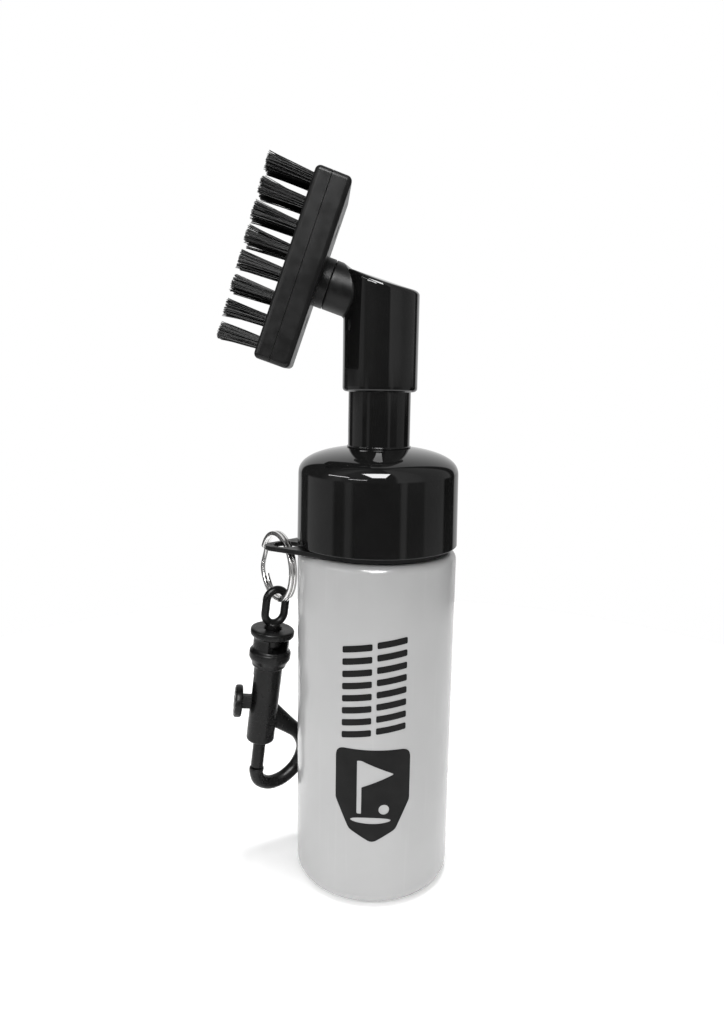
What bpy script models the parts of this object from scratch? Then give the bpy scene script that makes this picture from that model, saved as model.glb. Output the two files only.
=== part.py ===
"""Club groove brush: a pocket water bottle with a push pump, an angled brush head and a belt clip.

The origin is the centre of the bottle's flat base, +Z is up, and the brush points along -X.
The dimensions are in millimetres, and the functions under "Making shapes" turn them into metres.
"""

import math

import bmesh
import bpy
from mathutils import Matrix, Vector

MM = 0.001
LARGE, MEDIUM, SMALL = 32, 20, 14  # facets round a turned piece
OVER = 1.0  # how far a cutter passes the face that it cuts

# Bottle
BOTTLE_R, BASE_ROUND, BOTTLE_WALL, FLOOR_Z = 21.0, 3.6, 1.3, 1.8
SHOULDER_Z, SHOULDER_ROUND = 91.1, 2.0
NECK_R, NECK_BORE, NECK_TOP = 15.0, 13.4, 111.6

# Screw thread between the bottle's neck and the cap
THREAD_PITCH, THREAD_RIDGE = 3.6, 0.95
MALE_R, MALE_Z, MALE_TURNS = 14.95, 99.5, 1.75
FEMALE_R, FEMALE_TURNS = 16.25, 1.5
FEMALE_Z = MALE_Z - THREAD_PITCH / 2

# Cap
CAP_R, CAP_BOTTOM, CAP_CHAMFER, CAP_HOLE = 21.1, 92.9, 0.2, 7.2
CAP_TOP_R = 20.85  # the side leans in a little
DOME_Z, DOME_RISE, DOME_RUN, DOME_POWER = 109.0, 9.0, 19.0, 3.3
CAP_SHELL_BORE, CAP_CAVITY_TOP, CAP_CEILING = 19.4, 108.5, 113.5
SKIRT_BORE, SKIRT_R = 16.5, 17.9
GASKET_BORE, GASKET_R, GASKET_LOW, GASKET_HIGH = 13.4, 16.2, 111.9, 113.2

# Lanyard ring round the neck, and its tab
LANYARD_R, LANYARD_BORE, LANYARD_Z, LANYARD_THICK = 19.3, 16.3, 91.4, 1.2
TAB_AZIMUTH, TAB_TIP_AT, TAB_TIP_R = math.radians(185.0), 26.1, 3.4
TAB_HOLE_AT, TAB_HOLE_R = 23.9, 3.15

# Split ring: two flat coils joined by a short jog
RING_CENTRE, RING_R, RING_AZIMUTH = Vector((-26.4, 3.4, 85.25)), 9.0, math.radians(118.6)
STRAND_DEEP, STRAND_WIDE, STRAND_CHAMFER, COIL_STEP = 1.3, 0.8, 0.2, 1.1
JOG = math.radians(20)  # half the angle over which the strand changes coil
RING_HINGE_Z = 92.0

# Swivel clip. Its axis runs up from CLIP_FOOT through CLIP_TOP, the centre of the clip's top face.
CLIP_TOP, CLIP_FOOT = Vector((-27.9, 4.0, 67.7)), Vector((-32.3, 5.0, 30.3))
HOOK_AZIMUTH = math.radians(30)
KNOB_TURN = math.radians(157)  # from the hook to the thumb knob, round the clip
EYE_WIRE, EYE_BEND, EYE_LOW, EYE_HIGH = 1.1, 2.85, 1.45, 11.05
EYE_STEM_R, EYE_HEAD_R, EYE_HEAD_HIGH, EYE_HEAD_LOW = 2.0, 3.0, -2.6, -5.0
DISC_R, DISC_HOLE = 6.0, 2.35
CAGE_R, CAGE_HOLLOW, CAGE_HIGH, CAGE_LOW, WINDOW_WIDE = 4.9, 3.4, -2.2, -5.8, 5.8
BARREL_R, BARREL_LOW = 3.9, -33.3
CLIP_BODY = (
    (0.0, 0.0), (DISC_R - 0.3, 0.0), (DISC_R, -0.3), (DISC_R, -1.9), (CAGE_R, -2.3),
    (CAGE_R, -6.0), (5.7, -6.4), (5.7, -8.3), (4.7, -10.0), (4.7, -10.8), (BARREL_R, -11.0),
    (BARREL_R, BARREL_LOW + 1.0), (BARREL_R - 0.8, BARREL_LOW), (0.0, BARREL_LOW),
)
BOLT_BORE, BOLT_BORE_TOP = 2.05, -8.0
SLOT_WIDE, SLOT_HIGH, SLOT_LOW = 2.8, -13.8, -24.3
HOOK_WIRE, HOOK_ROOT_SWELL = 1.9, 1.3
HOOK_ROUTE = (
    (2.8, -26.0), (7.6, -29.6), (12.2, -33.4), (14.5, -38.2), (13.2, -43.4),
    (9.4, -46.9), (5.0, -47.9), (1.5, -46.4), (0.1, -43.9), (0.0, -42.0),
)
BOLT_R, BOLT_HIGH, BOLT_LOW, BOLT_PIN_HOLE = 1.75, -20.6, -41.7, 0.9
KNOB_Z, KNOB_R, KNOB_FACE, KNOB_BACK = -22.0, 4.5, 8.3, 6.2
KNOB_STEM_TALL, KNOB_STEM_WIDE, KNOB_PIN_R, KNOB_PIN_END = 3.8, 2.2, 0.6, 1.0
LATCH_COIL_R, LATCH_WIRE, LATCH_TURNS = 1.35, 0.3, 6

# Pump
TOWER_R, TOWER_BORE, TOWER_TOP = 8.0, 6.0, 140.0
TOWER_FOOT_R, TOWER_FOOT_LOW, TOWER_FOOT_HIGH = 8.3, 118.1, 118.5
SPIGOT_R, SPIGOT_BORE, SPIGOT_LOW = 6.9, 5.7, 106.6
WEB_LOW, WEB_HIGH, WEB_BORE = 116.5, 119.3, 2.75
SEAL_R, SEAL_BORE, SEAL_LOW, SEAL_HIGH = 5.4, 2.6, 114.4, 116.2
KEY_WIDE, KEYWAY_WIDE, KEYWAY_R, KEYWAY_LOW = 1.2, 1.9, 6.9, 122.0
KEY_R, KEY_LOW, KEY_HIGH = 7.25, 133.8, 138.0
CYLINDER_R, CYLINDER_BORE, CYLINDER_TOP, CYLINDER_FLOOR = 7.4, 6.3, 113.2, 84.9
FLANGE_R, FLANGE_LOW, MOUTH_R, MOUTH_BORE, MOUTH_LOW = 12.8, 111.9, 9.0, 7.2, 104.9
SOCKET_R, SOCKET_BORE, SOCKET_LOW, SOCKET_TOP = 4.2, 2.35, 72.0, 78.0
SEAT_BORE, SEAT_Z, BALL_CHAMBER = 1.4, 79.8, 2.9
INLET_BALL_R, INLET_BALL_Z = 2.4, 81.95
RETAINER_R, RETAINER_BORE, RETAINER_LOW, RETAINER_HIGH = 6.0, 1.5, 85.2, 87.2
DIP_R, DIP_BORE, DIP_LOW, DIP_TOP = 2.05, 1.3, 4.0, 77.7
PISTON_R, PISTON_WAIST, PISTON_LOW, PISTON_HIGH = 6.0, 5.0, 98.7, 104.7
PISTON_RING_R, PISTON_RING_WIRE = 5.65, 0.45
ROD_R, ROD_BORE, ROD_LOW, ROD_TOP = 2.4, 1.2, 100.0, 152.9
ROD_SOCKET = 2.7
RETURN_COIL_R, RETURN_WIRE, RETURN_TURNS = 4.9, 0.5, 7

# Elbow, the press head that carries the brush
ELBOW_R, ELBOW_BORE, ELBOW_LOW, ELBOW_CEILING = 9.6, 8.2, 132.3, 151.5
ELBOW_TOP_BACK, ELBOW_TOP_FRONT = Vector((9.6, 0, 157.0)), Vector((-9.6, 0, 162.8))
BOSS_R, BOSS_LOW, BALL_FLOOR, BALL_CEILING, BALL_BORE = 3.7, 145.0, 153.2, 156.6, 2.1
OUTLET_BALL_R, OUTLET_BALL_Z = 1.6, 154.06
NECK_AT, NECK_RISE = Vector((0, 0, 154.0)), math.radians(19)
NECK_TUBE_R, NECK_END, PASSAGE_R = 6.0, 13.8, 2.0
SPOUT_R, SPOUT_END, GROOVE_R, GROOVE_LOW, GROOVE_HIGH = 4.0, 19.7, 3.2, 15.4, 16.8
SNAP_R, SNAP_LOW, SNAP_HIGH = 4.8, 18.4, 19.1
NECK_RING_R, NECK_RING_WIRE = 3.83, 0.47

# Brush head. Its own frame has X up along the head, Y across it and Z out of the bristle face.
HEAD_LONG, HEAD_WIDE, HEAD_ROUND, HEAD_WALL = 46.2, 26.0, 1.3, 1.8
HEAD_BACK, COVER_FACE, PLATE_BACK, HEAD_FACE = 16.3, 21.05, 21.35, 25.2
COLLAR_TUBE_R, COLLAR_BORE, COLLAR_START = 6.3, 4.4, 14.1
ROWS, ROW_PITCH, ROWS_MIDDLE, TUFTS, TUFT_PITCH = 8, 5.8, 0.9, 3, 3.9
CHANNEL_WIDE, CHANNEL_LONG, CHANNEL_FLOOR = 3.2, 12.8, 23.0
STRIP_WIDE, STRIP_LONG, STRIP_LOW, STRIP_HIGH = 2.5, 12.0, 21.6, 22.7
TUFT_HOLE, TUFT_ROOT_R, TUFT_TIP_R = 1.75, 1.3, 1.9
TUFT_TIP, TIP_SLOPE, FAN = 36.6, 0.04, math.radians(2)  # the tips stand higher up the head
FRAME_SEAL_WIDE, FRAME_SEAL_LOW, FRAME_SEAL_HIGH = 1.1, 19.9, 21.05
NOZZLE_R, NOZZLE_BORE, NOZZLE_BACK, NOZZLE_FACE = 1.7, 0.5, 23.9, 25.4
NOZZLE_POCKET, NOZZLE_POCKET_FLOOR, NOZZLE_FEED = 2.0, 23.6, 0.6
SCREW_AT, SCREW_HEAD_R, SCREW_HEAD_THICK, SCREW_R, SCREW_END = 11.6, 1.5, 0.9, 0.6, 22.0
SCREW_POCKET, SCREW_POCKET_FLOOR, SCREW_HOLE = 1.8, 17.4, 0.9
POST_R, POST_TOP, POST_HOLE_END = 1.3, 18.4, 22.4

WHITE_PLASTIC = ("white_plastic", (0.60, 0.60, 0.60), 0.35, 0.0)
BLACK_GLOSS = ("black_gloss", (0.012, 0.012, 0.012), 0.12, 0.0)
BLACK_SATIN = ("black_satin", (0.025, 0.025, 0.025), 0.38, 0.0)
BRISTLE_NYLON = ("bristle_nylon", (0.02, 0.02, 0.02), 0.40, 0.0)
CLEAR_PLASTIC = ("natural_plastic", (0.75, 0.75, 0.72), 0.35, 0.0)
RUBBER = ("rubber", (0.04, 0.04, 0.04), 0.70, 0.0)
STEEL = ("steel", (0.72, 0.72, 0.72), 0.22, 1.0)


# Making shapes


def new_collection(name, hidden=False):
    collection = bpy.data.collections.new(name)
    collection.hide_render = hidden
    bpy.context.scene.collection.children.link(collection)
    return collection


def empty(name, origin=(0, 0, 0), z_axis=(0, 0, 1), x_axis=(1, 0, 0)):
    """A parent whose Z axis is z_axis, with its X axis as near x_axis as that allows."""
    z = Vector(z_axis).normalized()
    y = z.cross(Vector(x_axis)).normalized()
    turn = Matrix((y.cross(z), y, z)).transposed().to_4x4()
    obj = bpy.data.objects.new(name, None)
    obj.empty_display_size = 5 * MM
    obj.matrix_world = Matrix.Translation(Vector(origin) * MM) @ turn
    PARTS.objects.link(obj)
    return obj


def material(finish):
    """The Principled material of this finish, made once."""
    name, colour, roughness, metallic = finish
    if name in bpy.data.materials:
        return bpy.data.materials[name]
    made = bpy.data.materials.new(name)
    made.use_nodes = True
    shader = made.node_tree.nodes["Principled BSDF"]
    shader.inputs["Base Color"].default_value = (*colour, 1.0)
    shader.inputs["Roughness"].default_value = roughness
    shader.inputs["Metallic"].default_value = metallic
    made.diffuse_color = (*colour, 1.0)
    return made


def place(obj, parent, finish):
    """Puts the object under its parent: a part when it has a finish, and else a helper."""
    obj.parent = parent
    if finish:
        obj.data.materials.append(material(finish))
        PARTS.objects.link(obj)
    else:
        obj.hide_render = True
        obj.display_type = "WIRE"
        CUTTERS.objects.link(obj)
    return obj


def from_bmesh(name, shape, parent, finish=None, smooth=True):
    mesh = bpy.data.meshes.new(name)
    shape.to_mesh(mesh)
    shape.free()
    if smooth:
        mesh.shade_smooth()
        mesh.set_sharp_from_angle(angle=math.radians(35))
    return place(bpy.data.objects.new(name, mesh), parent, finish)


def turned(name, profile, parent, finish=None, steps=MEDIUM):
    """A profile of (radius, z) turned round the parent's Z axis. It runs down the outer side."""
    last = len(profile) - 1
    edges = [(i, i + 1) for i in range(last)]
    if profile[0][0] or profile[last][0]:
        edges.append((last, 0))
    mesh = bpy.data.meshes.new(name)
    mesh.from_pydata([(r * MM, 0, z * MM) for r, z in profile], edges, [])
    obj = place(bpy.data.objects.new(name, mesh), parent, finish)
    screw = obj.modifiers.new("Turn", "SCREW")
    screw.steps = screw.render_steps = steps
    screw.use_merge_vertices = True
    screw.merge_threshold = 0.00001
    return obj


def cylinders(name, places, radius, low, high, parent, finish=None, sides=MEDIUM):
    """Cylinders along the parent's Z axis, one at each (x, y)."""
    shape = bmesh.new()
    for x, y in places:
        centre = Matrix.Translation(Vector((x, y, (low + high) / 2)) * MM)
        bmesh.ops.create_cone(
            shape, cap_ends=True, segments=sides, radius1=radius * MM, radius2=radius * MM,
            depth=(high - low) * MM, matrix=centre,
        )
    return from_bmesh(name, shape, parent, finish)


def blocks(name, boxes, parent, finish=None):
    """Boxes, each given by its lowest and highest corner."""
    shape = bmesh.new()
    for low, high in boxes:
        low, high = Vector(low) * MM, Vector(high) * MM
        size = Matrix.Diagonal((*(high - low), 1))
        bmesh.ops.create_cube(shape, size=1, matrix=Matrix.Translation((low + high) / 2) @ size)
    return from_bmesh(name, shape, parent, finish, smooth=False)


def ball(name, radius, z, parent, finish):
    shape = bmesh.new()
    centre = Matrix.Translation((0, 0, z * MM))
    bmesh.ops.create_uvsphere(
        shape, u_segments=SMALL, v_segments=SMALL // 2, radius=radius * MM, matrix=centre
    )
    return from_bmesh(name, shape, parent, finish)


def o_ring(name, radius, wire, z, parent, finish):
    """A turned ring of round section."""
    corners = 8
    profile = []
    for i in range(corners):
        angle = math.pi / 2 - 2 * math.pi * i / corners
        profile.append((radius + wire * math.cos(angle), z + wire * math.sin(angle)))
    return turned(name, profile, parent, finish)


def tube(name, points, radius, parent, finish=None, closed=False, swell=None, sides=8, turn=None):
    """A round wire along the points as a mesh. swell holds a radius factor for each point."""
    curve = bpy.data.curves.new(name, "CURVE")
    curve.dimensions = "3D"
    curve.bevel_depth = radius * MM
    curve.bevel_resolution = (sides - 4) // 2
    curve.use_fill_caps = not closed
    spline = curve.splines.new("POLY")
    spline.points.add(len(points) - 1)
    spline.use_cyclic_u = closed
    for i, point in enumerate(points):
        spline.points[i].co = (*(Vector(point) * MM), 1)
        spline.points[i].radius = swell[i] if swell else 1
    return curve_to_mesh(name, curve, parent, finish, turn)


def curve_to_mesh(name, curve, parent, finish, turn=None):
    """The solid of a curve, with its caps welded on so that it can be joined and cut."""
    guide = bpy.data.objects.new(name + "_guide", curve)
    CUTTERS.objects.link(guide)
    graph = bpy.context.evaluated_depsgraph_get()
    mesh = bpy.data.meshes.new_from_object(guide.evaluated_get(graph))
    bpy.data.objects.remove(guide)
    shape = bmesh.new()
    shape.from_mesh(mesh)
    bmesh.ops.remove_doubles(shape, verts=shape.verts, dist=0.000001)
    bmesh.ops.recalc_face_normals(shape, faces=shape.faces)
    if turn:
        shape.transform(turn)
    bpy.data.meshes.remove(mesh)
    return from_bmesh(name, shape, parent, finish)


def outline(name, loops, low, high, parent, finish=None):
    """Flat closed loops of (x, y), filled between outer and inner ones, from low to high."""
    curve = bpy.data.curves.new(name, "CURVE")
    curve.dimensions = "2D"
    curve.fill_mode = "BOTH"
    curve.extrude = (high - low) / 2 * MM
    for loop in loops:
        spline = curve.splines.new("POLY")
        spline.points.add(len(loop) - 1)
        spline.use_cyclic_u = True
        for i, (x, y) in enumerate(loop):
            spline.points[i].co = (x * MM, y * MM, 0, 1)
    lift = Matrix.Translation((0, 0, (low + high) / 2 * MM))
    return curve_to_mesh(name, curve, parent, finish, lift)


def combine(target, other, operation):
    step = target.modifiers.new(other.name, "BOOLEAN")
    step.operation = operation
    step.solver = "EXACT"
    step.object = other


def join(target, other):
    combine(target, other, "UNION")


def cut(target, other):
    combine(target, other, "DIFFERENCE")


def arc(x, y, radius, start, end, steps):
    """Points on an arc round (x, y), from the start angle to the end angle in degrees."""
    angles = [math.radians(start + (end - start) * i / steps) for i in range(steps + 1)]
    return [(x + radius * math.cos(a), y + radius * math.sin(a)) for a in angles]


def helix(radius, start_z, pitch, turns, points_per_turn):
    count = round(turns * points_per_turn)
    points = []
    for i in range(count + 1):
        turn = i / points_per_turn
        angle = 2 * math.pi * turn
        points.append((radius * math.cos(angle), radius * math.sin(angle), start_z + pitch * turn))
    return points


def smooth_path(points, steps):
    """A Catmull-Rom curve through the points, with this many steps between neighbours."""
    points = [Vector(p) for p in points]
    ends = [2 * points[0] - points[1]] + points + [2 * points[-1] - points[-2]]
    path = []
    for a, b, c, d in zip(ends, ends[1:], ends[2:], ends[3:]):
        for i in range(steps):
            t = i / steps
            bend = (2 * a - 5 * b + 4 * c - d) * t * t + (3 * b - a - 3 * c + d) * t**3
            path.append((2 * b + (c - a) * t + bend) / 2)
    return path + [points[-1]]


# Bottle and cap


def make_bottle(axis):
    inner_r = BOTTLE_R - BOTTLE_WALL
    inner_round = BASE_ROUND - BOTTLE_WALL
    profile = [(0, FLOOR_Z)]
    profile += arc(inner_r - inner_round, FLOOR_Z + inner_round, inner_round, -90, 0, 2)
    profile += [
        (inner_r, SHOULDER_Z - 4.5),
        (NECK_BORE, SHOULDER_Z),
        (NECK_BORE, NECK_TOP),
        (NECK_R, NECK_TOP),
        (NECK_R, SHOULDER_Z),
    ]
    turn = SHOULDER_ROUND
    profile += arc(BOTTLE_R - turn, SHOULDER_Z - turn, turn, 90, 0, 3)
    profile += arc(BOTTLE_R - BASE_ROUND, BASE_ROUND, BASE_ROUND, 0, -90, 4)
    profile += [(0, 0)]
    bottle = turned("bottle", profile, axis, WHITE_PLASTIC, LARGE)
    ridge = helix(MALE_R, MALE_Z, THREAD_PITCH, MALE_TURNS, 20)
    join(bottle, tube("male_thread", ridge, THREAD_RIDGE, axis, sides=6))


def dome():
    """The cap's rounded shoulder and shallow top, from the side up to the tower's hole."""
    steps = 8
    top = math.acos(((CAP_HOLE - CAP_TOP_R + DOME_RUN) / DOME_RUN) ** (DOME_POWER / 2))
    points = []
    for i in range(steps + 1):
        angle = top * (i / steps) ** 0.8
        r = CAP_TOP_R - DOME_RUN + DOME_RUN * math.cos(angle) ** (2 / DOME_POWER)
        points.append((r, DOME_Z + DOME_RISE * math.sin(angle) ** (2 / DOME_POWER)))
    return points


def make_cap(axis):
    profile = list(reversed(dome()))
    profile += [
        (CAP_R, CAP_BOTTOM + CAP_CHAMFER),
        (CAP_R - CAP_CHAMFER, CAP_BOTTOM),
        (CAP_SHELL_BORE, CAP_BOTTOM),
        (CAP_SHELL_BORE, CAP_CAVITY_TOP),
        (SKIRT_R, CAP_CAVITY_TOP),
        (SKIRT_R, CAP_BOTTOM),
        (SKIRT_BORE, CAP_BOTTOM),
        (SKIRT_BORE, CAP_CEILING),
        (CAP_HOLE, CAP_CEILING),
    ]
    cap = turned("cap", profile, axis, BLACK_GLOSS, LARGE)
    ridge = helix(FEMALE_R, FEMALE_Z, THREAD_PITCH, FEMALE_TURNS, 20)
    join(cap, tube("female_thread", ridge, THREAD_RIDGE, axis, sides=6))


def make_ring(name, outer, bore, low, high, axis, finish, steps=MEDIUM):
    profile = [(outer, high), (outer, low), (bore, low), (bore, high)]
    turned(name, profile, axis, finish, steps)


# Lanyard ring, split ring and clip


def make_lanyard_ring(axis):
    """The ring and its tab share one outline: two circles and the lines that touch both."""
    touch = math.degrees(math.acos((LANYARD_R - TAB_TIP_R) / TAB_TIP_AT))
    outer = arc(0, 0, LANYARD_R, touch, 360 - touch, 26)
    outer += arc(TAB_TIP_AT, 0, TAB_TIP_R, -touch, touch, 8)
    neck_hole = arc(0, 0, LANYARD_BORE, 0, 350, 35)
    tab_hole = arc(TAB_HOLE_AT, 0, TAB_HOLE_R, 0, 337.5, 15)
    loops = [outer, neck_hole, tab_hole]
    high = LANYARD_Z + LANYARD_THICK
    ring = outline("lanyard_ring", loops, LANYARD_Z, high, axis, BLACK_SATIN)
    ring.rotation_euler.z = TAB_AZIMUTH


def make_split_ring(hinge):
    """Two turns of flat strand. Each coil stays flat, and the strand steps over at the jog."""
    sides = 30
    trim = JOG + math.radians(8)
    start, end = trim, 4 * math.pi - trim
    count = round((end - start) / (2 * math.pi) * sides)
    curve = bpy.data.curves.new("strand", "CURVE")
    curve.dimensions = "3D"
    curve.twist_mode = "Z_UP"
    spline = curve.splines.new("POLY")
    spline.points.add(count)
    for i in range(count + 1):
        angle = start + (end - start) * i / count
        across = max(-1.0, min(1.0, (angle - 2 * math.pi) / JOG))
        point = (RING_R * math.cos(angle), RING_R * math.sin(angle), across * COIL_STEP / 2)
        spline.points[i].co = (*(Vector(point) * MM), 1)
    section = bpy.data.curves.new("strand_section", "CURVE")
    section.dimensions = "2D"
    deep, wide, chamfer = STRAND_DEEP / 2, STRAND_WIDE / 2, STRAND_CHAMFER
    corners = [(deep - chamfer, wide), (deep, wide - chamfer)]
    corners += [(x, -y) for x, y in reversed(corners)]
    corners += [(-x, -y) for x, y in corners]
    edge = section.splines.new("POLY")
    edge.points.add(len(corners) - 1)
    edge.use_cyclic_u = True
    for i, (x, y) in enumerate(corners):
        edge.points[i].co = (x * MM, y * MM, 0, 1)
    guide = bpy.data.objects.new("strand_section", section)
    guide.hide_render = True
    CUTTERS.objects.link(guide)
    curve.bevel_mode = "OBJECT"
    curve.bevel_object = guide
    curve.use_fill_caps = True
    upright = Matrix.Rotation(math.radians(90), 4, "X")
    down = Matrix.Translation((0, 0, (RING_CENTRE.z - RING_HINGE_Z) * MM))
    curve_to_mesh("split_ring", curve, hinge, STEEL, down @ upright)


def make_swivel_eye(hinge):
    """A long loop over the split ring, on a stem whose head turns inside the clip's cage."""
    loop = arc(0, EYE_HIGH - EYE_BEND, EYE_BEND, 0, 180, 8)
    loop += arc(0, EYE_LOW + EYE_BEND, EYE_BEND, 180, 360, 8)
    points = [(x, 0, z) for x, z in loop]
    eye = tube("swivel_eye", points, EYE_WIRE, hinge, BLACK_SATIN, closed=True)
    stem = [
        (0, EYE_LOW + EYE_WIRE / 2),
        (EYE_STEM_R, EYE_LOW),
        (EYE_STEM_R, EYE_HEAD_HIGH),
        (EYE_HEAD_R, EYE_HEAD_HIGH),
        (EYE_HEAD_R, EYE_HEAD_LOW),
        (0, EYE_HEAD_LOW),
    ]
    stem = turned("eye_stem", stem, hinge, None, SMALL)
    join(eye, stem)
    for piece in (eye, stem):
        piece.location = hinge.matrix_world.inverted() @ (CLIP_TOP * MM)


def make_snap_hook(clip, thumb):
    body = turned("snap_hook_body", CLIP_BODY, clip, BLACK_SATIN)
    points = smooth_path([(x, 0, z) for x, z in HOOK_ROUTE], 3)
    fade = 6  # points over which the hook's root thins out
    swell = [1 + (HOOK_ROOT_SWELL - 1) * max(0, 1 - i / fade) for i in range(len(points))]
    join(body, tube("hook", points, HOOK_WIRE, clip, swell=swell))
    cage = [
        (0, OVER), (DISC_HOLE, OVER), (DISC_HOLE, CAGE_HIGH), (CAGE_HOLLOW, CAGE_HIGH),
        (CAGE_HOLLOW, CAGE_LOW), (0, CAGE_LOW),
    ]
    cut(body, turned("cage_hollow", cage, clip))
    half = WINDOW_WIDE / 2
    window = [((-half, -DISC_R - OVER, CAGE_LOW), (half, DISC_R + OVER, CAGE_HIGH))]
    cut(body, blocks("cage_windows", window, clip))
    low = BARREL_LOW - OVER
    cut(body, cylinders("bolt_bore", [(0, 0)], BOLT_BORE, low, BOLT_BORE_TOP, clip, sides=SMALL))
    half = SLOT_WIDE / 2
    slot = [((SLOT_LOW - KNOB_Z, -half, 0), (SLOT_HIGH - KNOB_Z, half, BARREL_R + OVER))]
    cut(body, blocks("knob_slot", slot, thumb))


def make_latch(bolt_frame, thumb):
    """The sprung bolt that shuts the hook, and the thumb knob pinned to it."""
    bolt = cylinders(
        "latch_bolt", [(0, 0)], BOLT_R, BOLT_LOW, BOLT_HIGH, bolt_frame, BLACK_SATIN, SMALL
    )
    through = BOLT_R + OVER
    cut(bolt, cylinders("pin_hole", [(0, 0)], BOLT_PIN_HOLE, -through, through, thumb, sides=SMALL))
    edge = 0.5
    profile = [
        (0, KNOB_FACE), (KNOB_R - edge, KNOB_FACE), (KNOB_R, KNOB_FACE - edge),
        (KNOB_R, KNOB_BACK + edge), (KNOB_R - edge, KNOB_BACK), (0, KNOB_BACK),
    ]
    knob = turned("thumb_knob", profile, thumb, BLACK_SATIN)
    tall, wide = KNOB_STEM_TALL / 2, KNOB_STEM_WIDE / 2
    foot, overlap = BOLT_R + 0.3, 0.5
    join(knob, blocks("knob_stem", [((-tall, -wide, foot), (tall, wide, KNOB_BACK + overlap))], thumb))
    pin = (KNOB_PIN_R, -KNOB_PIN_END, foot + overlap)
    join(knob, cylinders("knob_pin", [(0, 0)], *pin, thumb, sides=8))


def make_spring(name, coil_r, wire, turns, low, high, parent):
    """An open coil between two faces, with a small gap at each."""
    bottom, top = low + 0.3 + wire, high - 0.3 - wire
    points = helix(coil_r, bottom, (top - bottom) / turns, turns, 9)
    tube(name, points, wire, parent, STEEL, sides=6)


# Pump


def make_pump_tower(axis):
    profile = [
        (TOWER_R, TOWER_TOP), (TOWER_R, TOWER_FOOT_HIGH), (TOWER_FOOT_R, TOWER_FOOT_HIGH),
        (TOWER_FOOT_R, TOWER_FOOT_LOW), (SPIGOT_R, TOWER_FOOT_LOW), (SPIGOT_R, SPIGOT_LOW),
        (SPIGOT_BORE, SPIGOT_LOW), (SPIGOT_BORE, WEB_LOW), (WEB_BORE, WEB_LOW),
        (WEB_BORE, WEB_HIGH), (TOWER_BORE, WEB_HIGH), (TOWER_BORE, TOWER_TOP),
    ]
    tower = turned("pump_tower", profile, axis, BLACK_GLOSS)
    half, top = KEYWAY_WIDE / 2, TOWER_TOP + OVER
    keyways = [
        ((-TOWER_R - OVER, -half, KEYWAY_LOW), (-KEYWAY_R, half, top)),
        ((KEYWAY_R, -half, KEYWAY_LOW), (TOWER_R + OVER, half, top)),
    ]
    cut(tower, blocks("keyways", keyways, axis))


def make_pump_cylinder(axis):
    profile = [
        (FLANGE_R, CYLINDER_TOP), (FLANGE_R, FLANGE_LOW), (MOUTH_R, FLANGE_LOW),
        (MOUTH_R, MOUTH_LOW), (CYLINDER_R, MOUTH_LOW - 1.6), (CYLINDER_R, CYLINDER_FLOOR - 0.9),
        (SOCKET_R, CYLINDER_FLOOR - 4.4), (SOCKET_R, SOCKET_LOW), (SOCKET_BORE, SOCKET_LOW),
        (SOCKET_BORE, SOCKET_TOP), (SEAT_BORE, SOCKET_TOP), (SEAT_BORE, SEAT_Z),
        (BALL_CHAMBER, SEAT_Z + BALL_CHAMBER - SEAT_BORE), (BALL_CHAMBER, CYLINDER_FLOOR),
        (CYLINDER_BORE, CYLINDER_FLOOR), (CYLINDER_BORE, MOUTH_LOW - 0.9),
        (MOUTH_BORE, MOUTH_LOW), (MOUTH_BORE, CYLINDER_TOP),
    ]
    turned("pump_cylinder", profile, axis, CLEAR_PLASTIC)


def make_piston(axis):
    low, high, lip = PISTON_LOW, PISTON_HIGH, 1.7
    profile = [
        (PISTON_R, high), (PISTON_R, high - lip), (PISTON_WAIST, high - lip),
        (PISTON_WAIST, low + lip), (PISTON_R, low + lip), (PISTON_R, low), (ROD_BORE, low),
        (ROD_BORE, ROD_LOW - 0.3), (ROD_SOCKET, ROD_LOW - 0.3), (ROD_SOCKET, high),
    ]
    turned("piston", profile, axis, CLEAR_PLASTIC)
    o_ring("piston_o_ring", PISTON_RING_R, PISTON_RING_WIRE, (low + high) / 2, axis, RUBBER)


# Elbow and brush head


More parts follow.
